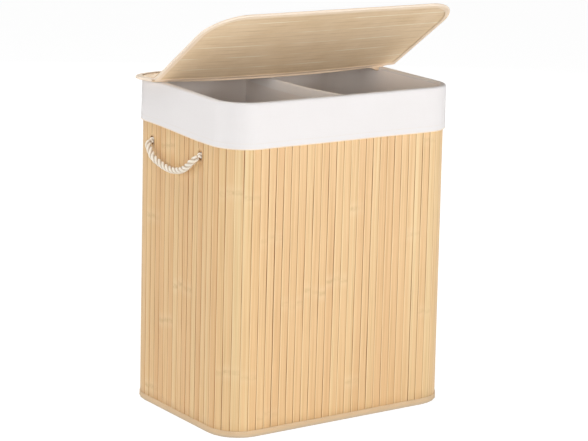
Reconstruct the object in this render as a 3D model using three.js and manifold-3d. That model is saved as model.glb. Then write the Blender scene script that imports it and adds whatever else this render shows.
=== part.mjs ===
// Laundry hamper with two bins: a wall of bamboo slats on a cloth backing, a slatted lid that
// folds along its cloth, a cotton liner with a turned-over cuff and a divider, and two rope handles.
// Millimetres, +Z up. The origin is the middle of the underside and the front looks towards -Y.
import * as THREE from 'three';
import { mergeVertices } from 'three/addons/utils/BufferGeometryUtils.js';
import Module from 'manifold-3d';

const wasm = await Module();
wasm.setup();

// Overall sizes
const bodyWidth = 515;
const bodyDepth = 360;
const rimHeight = 632; // top of the cuff, where the lid rests
const cornerRadius = 64; // outer face of the slats

// Clearances
const touchGap = 0.3; // between pieces that lie on each other
const overrun = 4; // how far a cutting solid runs past what it cuts

// Bamboo curtain: flat slats glued side by side on a cloth backing
const slatPitch = 17;
const slatThickness = 2.2;
const slatGap = 0.9;
const backingThickness = 0.8;
const cornerSlats = 6; // slats that turn each corner

// Bindings and the steel hoops that run inside them
const tapeThickness = 0.8;
const topTapeHeight = 22;
const bottomTapeHeight = 13;
const hoopDiameter = 5;
const hoopSides = 8;
const seamTapeWidth = 40;

// Base
const boardThickness = 3.5;

// Liner
const clothThickness = 1.4;
const cuffHeight = 84;
const cuffTurnIn = 26; // how far the cuff reaches down inside the rim
const cuffFlare = 1.2; // how far its lower edge stands off
const hemHeight = 20; // fold over the divider's top edge
const dividerDrop = 2; // divider's top edge below the rim

// Rope handles
const ropeDiameter = 12;
const ropeSides = 10;
const ropeSteps = 30;
const holeFromFrontCorner = 44; // from where the wall's rounded corner ends to the front hole
const holeFromRearCorner = 17;
const handleDrop = 110.5; // holes below the rim
const ropeHolePlay = 0.5; // all round the rope
const knotDepth = 17;
const knotDiameter = 25;
const knotTailLength = 17;
const knotTailLean = 35; // degrees from straight down
const bulgeRadius = 32; // soft bulge of the liner over a knot
const bulgeDepth = 14.5;

// Lid
const lidWidth = 567;
const lidCornerRadius = 76;
const flapLength = 266.5; // hinge line to the free edge
const hingeFromBack = 115.5; // hinge line to the back face of the wall
const lidRearOverhang = 4.5;
const lidOpenAngle = 34.9; // degrees from closed, as the lid stands
const lidSlatPitch = 15.5;
const lidTapeWidth = 13;
const lidWireDiameter = 2.4;
const lidCornerSteps = 8;
const hingeBare = 7; // bare cloth on each side of the hinge line
const hingeSlit = 0.25; // from the hinge line to each cloth edge
const tabWidth = 45;
const tabLength = 58;
const tabThickness = 1;
const tabSpacing = 300;

// Worked out from the sizes above
const wallThickness = slatThickness + backingThickness;
const ropeRadius = ropeDiameter / 2;
const hoopRadius = hoopDiameter / 2;
const straightWidth = bodyWidth - 2 * cornerRadius;
const straightDepth = bodyDepth - 2 * cornerRadius;
const frontSlats = Math.round(straightWidth / slatPitch);
const sideSlats = Math.round(straightDepth / slatPitch);

// Layers at the wall, as offsets from the outer face of the slats
const hoopOffset = -(wallThickness + touchGap + hoopRadius);
const bindingInside = -(wallThickness + touchGap + hoopDiameter + touchGap);
const bindingInner = bindingInside - tapeThickness;
const bindingOuter = touchGap + tapeThickness;
const linerOuter = bindingInner - touchGap;
const linerInner = linerOuter - clothThickness;
const cuffInside = bindingOuter + touchGap;
const cuffOuter = cuffInside + clothThickness;

// Heights
const wallBottom = tapeThickness + touchGap;
const topTapeTop = rimHeight - clothThickness - touchGap;
const wallTop = topTapeTop - tapeThickness - touchGap;
const boardBottom = tapeThickness + touchGap;
const linerBottom = boardBottom + boardThickness + touchGap;
const linerTop = rimHeight - cuffTurnIn - touchGap;
const handleHeight = rimHeight - handleDrop;

// The two holes of one handle
const frontHoleY = holeFromFrontCorner - straightDepth / 2;
const rearHoleY = straightDepth / 2 - holeFromRearCorner;

// Lid layers, from the top of the backing cloth, where the hinge line lies
const lidPanelBottom = -backingThickness;
const lidUnderside = lidPanelBottom - touchGap - tapeThickness;
const lidPanelTop = slatThickness;
const lidTopside = lidPanelTop + touchGap + tapeThickness;
const hingeHeight = rimHeight + touchGap - lidUnderside;
const hingeY = bodyDepth / 2 - hingeFromBack;
const rearLength = hingeFromBack + lidRearOverhang;
const lidPanelInset = tapeThickness + lidWireDiameter + 2 * touchGap;

const bamboo = new THREE.MeshStandardMaterial({ color: 0xeac697, roughness: 0.55, metalness: 0 });
const tape = new THREE.MeshStandardMaterial({ color: 0xe6d2b2, roughness: 0.9, metalness: 0 });
const cotton = new THREE.MeshStandardMaterial({ color: 0xf1eeec, roughness: 0.95, metalness: 0 });
const rope = new THREE.MeshStandardMaterial({ color: 0xf0e2c8, roughness: 0.95, metalness: 0 });
const steel = new THREE.MeshStandardMaterial({ color: 0xa9acae, roughness: 0.35, metalness: 1 });
const board = new THREE.MeshStandardMaterial({ color: 0x9a7a55, roughness: 0.85, metalness: 0 });

// Makes a closed geometry into a solid that can be cut and joined.
function solid(geometry) {
  const bare = geometry.index ? geometry.toNonIndexed() : geometry.clone();
  bare.deleteAttribute('normal');
  bare.deleteAttribute('uv');
  const merged = mergeVertices(bare, touchGap / 1000);
  return new wasm.Manifold(new wasm.Mesh({
    numProp: 3,
    vertProperties: new Float32Array(merged.attributes.position.array),
    triVerts: new Uint32Array(merged.index.array),
  }));
}

// Makes a solid into a geometry.
function geometryOf(body) {
  const mesh = body.getMesh();
  const geometry = new THREE.BufferGeometry();
  geometry.setAttribute('position', new THREE.BufferAttribute(new Float32Array(mesh.vertProperties), 3));
  geometry.setIndex(new THREE.BufferAttribute(new Uint32Array(mesh.triVerts), 1));
  geometry.computeVertexNormals();
  return geometry;
}

// A closed rounded rectangle, anticlockwise from the front left corner's end. Its front and back are
// divided at the shares in acrossShares, its sides at those in alongShares, its corners into equal chords.
function wallLoop(offset, acrossShares, alongShares, cornerSteps) {
  const radius = cornerRadius + offset;
  const halfWidth = straightWidth / 2;
  const halfDepth = straightDepth / 2;
  const sides = [
    { from: [-halfWidth, -halfDepth - radius], to: [halfWidth, -halfDepth - radius], shares: acrossShares },
    { from: [halfWidth + radius, -halfDepth], to: [halfWidth + radius, halfDepth], shares: alongShares },
    { from: [halfWidth, halfDepth + radius], to: [-halfWidth, halfDepth + radius], shares: acrossShares },
    { from: [-halfWidth - radius, halfDepth], to: [-halfWidth - radius, -halfDepth], shares: alongShares },
  ];
  const corners = [[halfWidth, -halfDepth], [halfWidth, halfDepth], [-halfWidth, halfDepth], [-halfWidth, -halfDepth]];
  const points = [];
  sides.forEach(({ from, to, shares }, side) => {
    for (const share of shares) {
      points.push([from[0] + (to[0] - from[0]) * share, from[1] + (to[1] - from[1]) * share]);
    }
    for (let step = 0; step < cornerSteps; step++) {
      const angle = (Math.PI / 2) * (side - 1 + step / cornerSteps);
      points.push([corners[side][0] + radius * Math.cos(angle), corners[side][1] + radius * Math.sin(angle)]);
    }
  });
  return points;
}

// The plain loop that hoops, bindings and cuff share, with its corners on the slats' own joints.
const plainShares = [0];
const plainLoop = (offset) => wallLoop(offset, plainShares, plainShares, cornerSlats);

// Sweeps a profile of [offset, height] points round a path. The path is a function that gives its
// points for an offset, and an open one gets flat ends. The profile runs anticlockwise as seen
// along the path with the offset to the right and the height up. inward says how far each point
// moves towards the middle along X.
function sweep(path, profile, closed = true, inward = () => 0) {
  const rows = profile.map(([offset, height]) => path(offset).map(
    ([x, y]) => [x - Math.sign(x) * inward(x, y, height), y, height],
  ));
  const count = rows[0].length;
  const positions = rows.flat(2);
  const index = [];
  const last = closed ? count : count - 1;
  for (let j = 0; j < rows.length; j++) {
    const next = (j + 1) % rows.length;
    for (let i = 0; i < last; i++) {
      const a = j * count + i;
      const b = j * count + ((i + 1) % count);
      const c = next * count + ((i + 1) % count);
      const d = next * count + i;
      index.push(a, b, c, a, c, d);
    }
  }
  if (!closed) {
    const outline = profile.map(([offset, height]) => new THREE.Vector2(offset, height));
    for (const [a, b, c] of THREE.ShapeUtils.triangulateShape(outline, [])) {
      index.push(a * count, b * count, c * count);
      index.push(a * count + last, c * count + last, b * count + last);
    }
  }
  const geometry = new THREE.BufferGeometry();
  geometry.setAttribute('position', new THREE.Float32BufferAttribute(positions, 3));
  geometry.setIndex(index);
  geometry.computeVertexNormals();
  return geometry;
}

// The section of a round bar about a middle given as an offset and a height.
function roundProfile(offset, height, radius, sides) {
  return Array.from({ length: sides }, (_, i) => {
    const angle = (2 * Math.PI * (i + 0.5)) / sides;
    return [offset + radius * Math.cos(angle), height + radius * Math.sin(angle)];
  });
}

// A flat panel with the given closed outline, from bottom to top.
function panel(points, bottom, top) {
  const shape = new THREE.Shape(points.map(([x, y]) => new THREE.Vector2(x, y)));
  return new THREE.ExtrudeGeometry(shape, { depth: top - bottom, bevelEnabled: false }).translate(0, 0, bottom);
}

const group = new THREE.Group();

// Adds a named piece to a group.
function add(name, geometry, material, parent = group) {
  const mesh = new THREE.Mesh(geometry, material.clone());
  mesh.name = name;
  parent.add(mesh);
  return mesh;
}

// The four places where a rope goes through the wall.
const ropeEnds = [
  { name: 'left_front', side: -1, y: frontHoleY },
  { name: 'left_rear', side: -1, y: rearHoleY },
  { name: 'right_front', side: 1, y: frontHoleY },
  { name: 'right_rear', side: 1, y: rearHoleY },
];

// Wall: one curtain of flat slats that goes right round, with a groove between each two slats
function bambooWall() {
  const equal = (count) => Array.from({ length: count }, (_, i) => i / count);
  const loopAt = (offset) => wallLoop(offset, equal(frontSlats), equal(sideSlats), cornerSlats);
  const face = loopAt(0);
  const grooveBottom = loopAt(-slatThickness);
  const inside = loopAt(-wallThickness);
  const count = face.length;
  const towards = (from, to, distance) => {
    const length = Math.hypot(to[0] - from[0], to[1] - from[1]);
    return from.map((value, k) => value + ((to[k] - value) * distance) / length);
  };
  const outline = [];
  for (let i = 0; i < count; i++) {
    const j = (i + 1) % count;
    outline.push(towards(grooveBottom[i], grooveBottom[j], slatGap / 2));
    outline.push(towards(face[i], face[j], slatGap / 2));
    outline.push(towards(face[j], face[i], slatGap / 2));
    outline.push(towards(grooveBottom[j], grooveBottom[i], slatGap / 2));
  }
  const shape = new THREE.Shape(outline.map(([x, y]) => new THREE.Vector2(x, y)));
  shape.holes.push(new THREE.Path(inside.map(([x, y]) => new THREE.Vector2(x, y))));
  const curtain = new THREE.ExtrudeGeometry(shape, { depth: wallTop - wallBottom, bevelEnabled: false });
  let body = solid(curtain.translate(0, 0, wallBottom));
  const drillLength = wallThickness + 2 * overrun;
  for (const { side, y } of ropeEnds) {
    const drill = new THREE.CylinderGeometry(ropeRadius + ropeHolePlay, ropeRadius + ropeHolePlay, drillLength, ropeSides);
    drill.rotateZ(Math.PI / 2).translate(side * (bodyWidth - wallThickness) / 2, y, handleHeight);
    body = body.subtract(solid(drill));
  }
  return geometryOf(body);
}
add('bamboo_wall', bambooWall(), bamboo);

// The tape that closes the curtain's two ends, inside the middle of the back
const seamTape = new THREE.BoxGeometry(seamTapeWidth, tapeThickness, linerTop - bottomTapeHeight - 2 * touchGap);
add('wall_seam_tape', seamTape, tape).position.set(
  0,
  bodyDepth / 2 - wallThickness - touchGap - tapeThickness / 2,
  (linerTop + bottomTapeHeight) / 2,
);

// Top edge: a tape folded over the slats and over the steel hoop that keeps the rim's shape
const topBindingProfile = [
  [bindingInner, topTapeTop - topTapeHeight],
  [bindingInside, topTapeTop - topTapeHeight],
  [bindingInside, topTapeTop - tapeThickness],
  [touchGap, topTapeTop - tapeThickness],
  [touchGap, topTapeTop - topTapeHeight],
  [bindingOuter, topTapeTop - topTapeHeight],
  [bindingOuter, topTapeTop],
  [bindingInner, topTapeTop],
];
add('top_binding', sweep(plainLoop, topBindingProfile), tape);
const topHoopHeight = topTapeTop - tapeThickness - touchGap - hoopRadius;
add('top_wire_ring', sweep(plainLoop, roundProfile(hoopOffset, topHoopHeight, hoopRadius, hoopSides)), steel);

// Bottom edge: the same fold the other way up, which the hamper stands on
const bottomBindingProfile = [
  [bindingInner, 0],
  [bindingOuter, 0],
  [bindingOuter, bottomTapeHeight],
  [touchGap, bottomTapeHeight],
  [touchGap, tapeThickness],
  [bindingInside, tapeThickness],
  [bindingInside, bottomTapeHeight],
  [bindingInner, bottomTapeHeight],
];
add('bottom_binding', sweep(plainLoop, bottomBindingProfile), tape);
const bottomHoopHeight = tapeThickness + touchGap + hoopRadius;
add('bottom_wire_ring', sweep(plainLoop, roundProfile(hoopOffset, bottomHoopHeight, hoopRadius, hoopSides)), steel);

// Base: the cloth underside, with the loose board that stiffens it
const baseLoop = plainLoop(bindingInner - touchGap);
add('base_cloth', panel(baseLoop, 0, tapeThickness), tape);
add('base_board', panel(baseLoop, boardBottom, boardBottom + boardThickness), board);

// Liner cuff: turned in over the rim and hanging down outside the slats
const cuffBottom = rimHeight - cuffHeight;
const cuffProfile = [
  [linerInner, rimHeight - cuffTurnIn],
  [linerOuter, rimHeight - cuffTurnIn],
  [linerOuter, rimHeight - clothThickness],
  [cuffInside, rimHeight - clothThickness],
  [cuffInside, rimHeight - cuffHeight / 2],
  [cuffInside + cuffFlare, cuffBottom],
  [cuffOuter + cuffFlare, cuffBottom],
  [cuffOuter, rimHeight - cuffHeight / 2],
  [cuffOuter, rimHeight],
  [linerInner, rimHeight],
];
add('liner_cuff', sweep(plainLoop, cuffProfile), cotton);

// Liner wall: hangs from the rim to the board, with a soft bulge over each of the four knots
function linerWall() {
  const spreadShares = [-1, -0.72, -0.48, -0.24, 0, 0.24, 0.48, 0.72, 1];
  const alongShares = [0, ...ropeEnds.slice(0, 2).flatMap(({ y }) => spreadShares.map(
    (share) => (y + share * bulgeRadius + straightDepth / 2) / straightDepth,
  ))].filter((share) => share < 1);
  const loopAt = (offset) => wallLoop(offset, [0, 0.5], alongShares, cornerSlats);
  const levels = [linerBottom, ...spreadShares.map((share) => handleHeight + share * bulgeRadius), linerTop];
  const profile = [
    ...levels.map((height) => [linerOuter, height]),
    ...levels.toReversed().map((height) => [linerInner, height]),
  ];
  const bulge = (x, y, height) => {
    const onSide = Math.abs(x) > bodyWidth / 2 + linerInner - touchGap;
    const away = Math.min(...ropeEnds.map((end) => Math.hypot(y - end.y, height - handleHeight)));
    return onSide && away < bulgeRadius ? (bulgeDepth * (1 + Math.cos((Math.PI * away) / bulgeRadius))) / 2 : 0;
  };
  return sweep(loopAt, profile, true, bulge);
}
add('liner_bag_wall', linerWall(), cotton);
const floorLoop = plainLoop(linerInner - touchGap);
add('liner_floor', panel(floorLoop, linerBottom, linerBottom + clothThickness), cotton);

// Divider: a cloth panel between the two bins, with a folded hem along its top
const dividerDepth = bodyDepth + 2 * (linerInner - touchGap);
const dividerTop = rimHeight - dividerDrop;
const dividerBottom = linerBottom + clothThickness + touchGap;
const dividerPanelTop = dividerTop - clothThickness - touchGap;
const dividerHeight = dividerPanelTop - dividerBottom;
add('bin_divider', new THREE.BoxGeometry(clothThickness, dividerDepth, dividerHeight), cotton)
  .position.set(0, 0, (dividerPanelTop + dividerBottom) / 2);
function dividerHem() {
  const inner = clothThickness / 2 + touchGap;
  const outer = inner + clothThickness;
  const section = [
    [-outer, -hemHeight], [-inner, -hemHeight], [-inner, -clothThickness], [inner, -clothThickness],
    [inner, -hemHeight], [outer, -hemHeight], [outer, 0], [-outer, 0],
  ];
  const shape = new THREE.Shape(section.map(([x, z]) => new THREE.Vector2(x, z)));
  const hem = new THREE.ExtrudeGeometry(shape, { depth: dividerDepth, bevelEnabled: false });
  return hem.rotateX(Math.PI / 2).translate(0, dividerDepth / 2, dividerTop);
}
add('divider_hem', dividerHem(), cotton);

// Rope ends: a length through the wall, two turns of a stopper knot behind it and a tail
function stopperKnot(side) {
  const turnRadius = knotDepth / 4;
  const turnMiddle = knotDiameter / 2 - turnRadius;
  const turnSteps = 4;
  const profile = [new THREE.Vector2(0, 0)];
  for (const turn of [0, 1]) {
    for (let step = 0; step <= turnSteps; step++) {
      const angle = Math.PI * (step / turnSteps - 0.5);
      profile.push(new THREE.Vector2(
        turnMiddle + turnRadius * Math.cos(angle),
        turnRadius * (1 + 2 * turn + Math.sin(angle)),
      ));
    }
  }
  profile.push(new THREE.Vector2(0, knotDepth));
  const turns = new THREE.LatheGeometry(profile, 2 * ropeSides).rotateZ((side * Math.PI) / 2);
  const knotFace = bodyWidth / 2 - wallThickness - touchGap;
  turns.translate(side * knotFace, 0, 0);
  const stubLength = wallThickness + touchGap + knotDepth / 2;
  const stub = new THREE.CylinderGeometry(ropeRadius, ropeRadius, stubLength, ropeSides).rotateZ(Math.PI / 2);
  stub.translate(side * (bodyWidth / 2 - stubLength / 2), 0, 0);
  const tailRadius = ropeRadius - ropeHolePlay;
  const tail = new THREE.CylinderGeometry(tailRadius, tailRadius, knotTailLength, ropeSides);
  tail.translate(0, -knotTailLength / 2, 0).rotateX(Math.PI / 2 - THREE.MathUtils.degToRad(knotTailLean));
  tail.translate(side * (knotFace - tailRadius), 0, 0);
  return geometryOf(solid(turns).add(solid(stub)).add(solid(tail)));
}
for (const { name, side, y } of ropeEnds) {
  add(`${name}_knot`, stopperKnot(side), rope).position.set(0, y, handleHeight);
}

// Rope handles: each loop turns about the line through its two holes. A point of the route lies so
// far from the middle, out from that line and below it, and the first is at the rear hole.
const loopRoute = [
  [85.5, 0, 0], [79.5, 5.5, 7], [68.5, 8.7, 15.5], [54, 10, 26.5], [34.5, 8.6, 33.8], [15, 7.4, 38.4], [-6, 6.8, 40.1],
  [-26.5, 6.4, 38], [-45.5, 6.5, 32.8], [-62.5, 6.8, 23.5], [-75, 5.6, 13], [-82.5, 2.5, 6.5], [-85.5, 0, 0],
];
function ropeLoop(side) {
  const stretch = (rearHoleY - frontHoleY) / (2 * loopRoute[0][0]);
  const points = loopRoute.map(([along, out, drop]) => new THREE.Vector3(side * out, along * stretch, -drop));
  const curve = new THREE.CatmullRomCurve3(points);
  const section = new THREE.Shape(roundProfile(0, 0, ropeRadius, ropeSides).map(([x, y]) => new THREE.Vector2(x, y)));
  const tube = new THREE.ExtrudeGeometry(section, { steps: ropeSteps, bevelEnabled: false, extrudePath: curve });
  const [first, last] = [points[0], points.at(-1)].map(({ x, y, z }) => {
    const ball = new THREE.SphereGeometry(ropeRadius, ropeSides, ropeSides - 2);
    return solid(ball.translate(x, y, z));
  });
  return geometryOf(solid(tube).add(first).add(last));
}
for (const [name, side] of [['left_rope_handle', -1], ['right_rope_handle', 1]]) {
  add(name, ropeLoop(side), rope).position.set(
    side * (bodyWidth / 2 + touchGap + ropeRadius),
    (frontHoleY + rearHoleY) / 2,
    handleHeight,
  );
}

// Lid: two slatted leaves on one backing cloth. Each leaf is drawn from the hinge line towards -Y,
// and its edge path has three sides, from the left end of the hinge line to the right end.
function leafPath(length) {
  return (offset) => {
    const radius = lidCornerRadius + offset;
    const halfWidth = lidWidth / 2 - lidCornerRadius;
    const cornerY = -(length - lidCornerRadius);
    const points = [[-halfWidth - radius, -hingeBare]];
    for (const corner of [0, 1]) {
      for (let step = 0; step <= lidCornerSteps; step++) {
        const angle = (Math.PI / 2) * (2 + corner + step / lidCornerSteps);
        const middle = corner === 0 ? -halfWidth : halfWidth;
        points.push([middle + radius * Math.cos(angle), cornerY + radius * Math.sin(angle)]);
      }
    }
    points.push([halfWidth + radius, -hingeBare]);
    return points;
  };
}

// A leaf's slats run along the hinge line and are cut to the leaf's outline with their backing.
function leafSlats(length) {
  const outline = leafPath(length)(-lidPanelInset);
  const edge = outline.map(([x, y], i) => (i === 0 || i === outline.length - 1 ? [x, -hingeSlit] : [x, y]));
  const slats = Math.round((length - lidPanelInset - hingeBare) / lidSlatPitch);
  const pitch = (length - lidPanelInset - hingeBare) / slats;
  const comb = [[-hingeSlit, lidPanelBottom], [-hingeSlit, 0]];
  for (let i = 0; i < slats; i++) {
    const near = -hingeBare - i * pitch - (i === 0 ? 0 : slatGap / 2);
    const far = -hingeBare - (i + 1) * pitch + (i === slats - 1 ? -overrun : slatGap / 2);
    comb.push([near, 0], [near, lidPanelTop], [far, lidPanelTop]);
    if (i < slats - 1) comb.push([far, 0]);
  }
  comb.push([-length - overrun, lidPanelTop], [-length - overrun, lidPanelBottom]);
  const shape = new THREE.Shape(comb.map(([y, z]) => new THREE.Vector2(y, z)));
  const boards = new THREE.ExtrudeGeometry(shape, { depth: lidWidth, bevelEnabled: false });
  boards.translate(0, 0, -lidWidth / 2).applyMatrix4(new THREE.Matrix4().makeBasis(
    new THREE.Vector3(0, 1, 0), new THREE.Vector3(0, 0, 1), new THREE.Vector3(1, 0, 0),
  ));
  return geometryOf(solid(boards).intersect(solid(panel(edge, lidUnderside, lidTopside))));
}

// A leaf's binding: a tape folded round the three edges, with the wire that stiffens them inside.
const leafBindingProfile = [
  [-lidTapeWidth, lidUnderside],
  [0, lidUnderside],
  [0, lidTopside],
  [-lidTapeWidth, lidTopside],
  [-lidTapeWidth, lidTopside - tapeThickness],
  [-tapeThickness, lidTopside - tapeThickness],
  [-tapeThickness, lidUnderside + tapeThickness],
  [-lidTapeWidth, lidUnderside + tapeThickness],
];
const lidWireOffset = -(tapeThickness + touchGap + lidWireDiameter / 2);
const lidWireHeight = (lidPanelBottom + lidPanelTop) / 2;
const leafWireProfile = roundProfile(lidWireOffset, lidWireHeight, lidWireDiameter / 2, hoopSides);

function addLeaf(name, length, parent) {
  add(`${name}_slats`, leafSlats(length), bamboo, parent);
  add(`${name}_binding`, sweep(leafPath(length), leafBindingProfile, false), tape, parent);
  add(`${name}_wire`, sweep(leafPath(length), leafWireProfile, false), steel, parent);
}

const rearLeaf = new THREE.Group();
rearLeaf.position.set(0, hingeY, hingeHeight);
rearLeaf.rotation.z = Math.PI;
group.add(rearLeaf);
addLeaf('lid_rear', rearLength, rearLeaf);

const flapLeaf = new THREE.Group();
flapLeaf.position.set(0, hingeY, hingeHeight);
flapLeaf.rotation.x = -THREE.MathUtils.degToRad(lidOpenAngle);
group.add(flapLeaf);
addLeaf('lid_flap', flapLength, flapLeaf);

// Two cloth tabs hold the rear leaf down over the cuff behind the back wall
const tabTop = rimHeight - touchGap;
for (const [name, side] of [['lid_tab_left', -1], ['lid_tab_right', 1]]) {
  add(name, new THREE.BoxGeometry(tabWidth, tabThickness, tabLength), tape).position.set(
    (side * tabSpacing) / 2,
    bodyDepth / 2 + cuffOuter + cuffFlare + touchGap + tabThickness / 2,
    tabTop - tabLength / 2,
  );
}

export default group;
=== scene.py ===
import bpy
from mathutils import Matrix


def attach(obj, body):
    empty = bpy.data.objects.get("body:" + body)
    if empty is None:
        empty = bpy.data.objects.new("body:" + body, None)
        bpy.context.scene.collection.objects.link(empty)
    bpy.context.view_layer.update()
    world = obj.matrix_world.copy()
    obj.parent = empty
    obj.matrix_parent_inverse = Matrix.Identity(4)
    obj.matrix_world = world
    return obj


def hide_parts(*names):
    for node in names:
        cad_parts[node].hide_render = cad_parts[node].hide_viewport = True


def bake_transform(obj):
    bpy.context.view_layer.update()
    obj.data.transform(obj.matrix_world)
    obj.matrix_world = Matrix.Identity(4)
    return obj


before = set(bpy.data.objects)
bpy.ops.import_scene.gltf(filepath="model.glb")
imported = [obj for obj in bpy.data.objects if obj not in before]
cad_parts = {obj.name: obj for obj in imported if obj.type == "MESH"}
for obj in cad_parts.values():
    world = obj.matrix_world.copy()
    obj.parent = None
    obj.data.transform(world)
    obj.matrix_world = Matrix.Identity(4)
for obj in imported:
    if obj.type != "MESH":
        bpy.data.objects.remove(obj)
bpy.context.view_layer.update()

import math
import random
from functools import partial
import bmesh
import bpy
import numpy as np
from mathutils import Matrix, Vector, noise

# Laundry hamper with two bins. Metres, +Z up, the front looks towards -Y.
# Places that several pieces share, as the frame has them
hamper = {
    "width": 0.515,
    "depth": 0.360,
    "rim": 0.632,
    "corner": 0.064,
    "cornerSlats": 6,
    "frontSlats": 23,
    "sideSlats": 14,
    "slatThickness": 0.0022,
    "wallBottom": 0.0011,
    "wallTop": 0.6292,
    "floorTop": 0.0049,
    "flare": 0.008,  # the curtain stands wider at the foot of its right end
    "flareTop": 0.54,
    "riseFrom": -0.12,  # y from which rim and cuff rise towards the lid's hinge
}
lid = {
    "width": 0.567,
    "corner": 0.076,
    "flap": 0.2665,  # lengths of the two leaves
    "rear": 0.120,
    "hingeY": 0.0645,
    "hingeZ": 0.6342,
    "openAngle": 34.9,  # degrees
    "hingeBare": 0.007,
    "under": -0.0019,  # binding's underside below the hinge line
    "top": 0.0033,  # binding's top side above it
    "inset": 0.0038,  # slats inside the outer edge
    "bow": 0.0058,  # the long slats curve up towards their ends at the hinge
    "dip": 0.0008,  # and hang through a little in the middle
    "tilt": 0.0016,  # the left end lies higher
    "aside": 0.0055,  # the hinge side lies to the right
    "square": 0.2,  # share of that at the flap's far edge
}
tapeThickness = 0.0007


def linear(hexColour):
    # sRGB hex to the linear colour that Blender's sockets take
    shares = [int(hexColour[i:i + 2], 16) / 255 for i in (1, 3, 5)]
    return tuple(s / 12.92 if s <= 0.04045 else ((s + 0.055) / 1.055) ** 2.4 for s in shares) + (1.0,)


def addNode(tree, kind, *inputs, stops=(), **settings):
    # One node with its settings and links. Inputs fill its sockets in order, and a dictionary fills them
    # by name or number. A node as an input means its first live output.
    made = tree.nodes.new(kind if "Node" in kind else "ShaderNode" + kind)
    for setting, value in settings.items():
        setattr(made, setting, value)
    for place, hexColour in stops:
        fits = [e for e in made.color_ramp.elements if abs(e.position - place) < 1e-6]
        (fits[0] if fits else made.color_ramp.elements.new(place)).color = linear(hexColour)
    sources = {}
    for at, source in enumerate(inputs):
        sources.update(source if isinstance(source, dict) else {at: source})
    for socket, source in sources.items():
        if isinstance(source, bpy.types.Node):
            source = next(out for out in source.outputs if out.enabled)
        if isinstance(source, bpy.types.NodeSocket):
            tree.links.new(source, made.inputs[socket])
        else:
            isColour = isinstance(source, str) and source.startswith("#")
            made.inputs[socket].default_value = linear(source) if isColour else source
    return made


def startMaterial(name):
    material = bpy.data.materials.new(name)
    material.use_nodes = True
    material.node_tree.nodes.clear()
    return material, partial(addNode, material.node_tree)


def endMaterial(material, add, values):
    add("OutputMaterial", add("BsdfPrincipled", values))
    return material


# Camera, fitted to the photograph's outlines
cameraFit = {
    "yaw": 34.976,  # degrees from +Y towards +X
    "pitch": 12.859,  # degrees down
    "roll": 1.576,
    "place": (-2.324751, -3.333310, 1.284551),
    "lens": 131.04,  # mm on a 36 mm wide frame
}


def addCamera():
    yaw, pitch, roll = (math.radians(cameraFit[k]) for k in ("yaw", "pitch", "roll"))
    ahead = Vector((math.sin(yaw) * math.cos(pitch), math.cos(yaw) * math.cos(pitch), -math.sin(pitch)))
    flatRight = Vector((math.cos(yaw), -math.sin(yaw), 0))
    flatUp = flatRight.cross(ahead)
    right = flatRight * math.cos(roll) + flatUp * math.sin(roll)
    up = flatUp * math.cos(roll) - flatRight * math.sin(roll)
    data = bpy.data.cameras.new("photo_camera")
    data.sensor_fit = "HORIZONTAL"
    data.sensor_width = 36
    data.lens = cameraFit["lens"]
    data.clip_end = 50
    camera = bpy.data.objects.new("photo_camera", data)
    turned = Matrix((right, up, -ahead)).transposed().to_4x4()
    camera.matrix_world = Matrix.Translation(Vector(cameraFit["place"])) @ turned
    bpy.context.scene.collection.objects.link(camera)
    bpy.context.scene.camera = camera


addCamera()
print("stage: camera set")


# Meshes
def addMesh(name, points, faces, material, loopUv=None, smoothAngle=50):
    mesh = bpy.data.meshes.new(name)
    mesh.from_pydata([tuple(p) for p in points], [], [tuple(f) for f in faces])
    if loopUv is not None:
        mesh.uv_layers.new(name="weave").data.foreach_set("uv", np.asarray(loopUv, np.float32).ravel())
    mesh.update()
    mesh.shade_smooth()
    if smoothAngle:
        mesh.set_sharp_from_angle(angle=math.radians(smoothAngle))
    mesh.materials.append(material)
    made = bpy.data.objects.new(name, mesh)
    bpy.context.scene.collection.objects.link(made)
    return made


def unit(arrows):
    return arrows / np.maximum(np.linalg.norm(arrows, axis=-1, keepdims=True), 1e-12)


def runLengths(line):
    # each point's distance along the line
    return np.concatenate([[0], np.cumsum(np.linalg.norm(np.diff(line, axis=0), axis=1))])


def addSheet(name, rows, thickness, material, closed=False):
    # cloth of real thickness about a grid of points; rows run across, and a closed one goes right round
    grid = np.asarray(rows, float)
    count, width = grid.shape[:2]
    across = np.roll(grid, -1, 1) - np.roll(grid, 1, 1) if closed else np.gradient(grid, axis=1)
    shift = unit(np.cross(across, np.gradient(grid, axis=0))) * thickness / 2
    points = np.concatenate([(grid + shift).reshape(-1, 3), (grid - shift).reshape(-1, 3)])
    # the weave keeps its real scale: distances along the grid's two directions
    ring = np.concatenate([grid, grid[:, :1]], axis=1) if closed else grid
    acrossAt = runLengths(ring[count // 2])
    alongAt = np.concatenate([[0], np.cumsum(np.linalg.norm(np.diff(grid, axis=0), axis=2).mean(axis=1))])
    last = width if closed else width - 1
    faces, uv = [], []

    def addFace(*corners):
        faces.append([layer * count * width + r * width + c % width for layer, r, c in corners])
        uv.extend((acrossAt[c], alongAt[r]) for layer, r, c in corners)

    for r in range(count - 1):
        for c in range(last):
            addFace((0, r, c), (0, r, c + 1), (0, r + 1, c + 1), (0, r + 1, c))
            addFace((1, r + 1, c), (1, r + 1, c + 1), (1, r, c + 1), (1, r, c))
    for c in range(last):
        addFace((0, 0, c), (1, 0, c), (1, 0, c + 1), (0, 0, c + 1))
        addFace((0, count - 1, c + 1), (1, count - 1, c + 1), (1, count - 1, c), (0, count - 1, c))
    for r in () if closed else range(count - 1):
        addFace((0, r, 0), (0, r + 1, 0), (1, r + 1, 0), (1, r, 0))
        addFace((1, r, width - 1), (1, r + 1, width - 1), (0, r + 1, width - 1), (0, r, width - 1))
    return addMesh(name, points, faces, material, uv)


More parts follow.
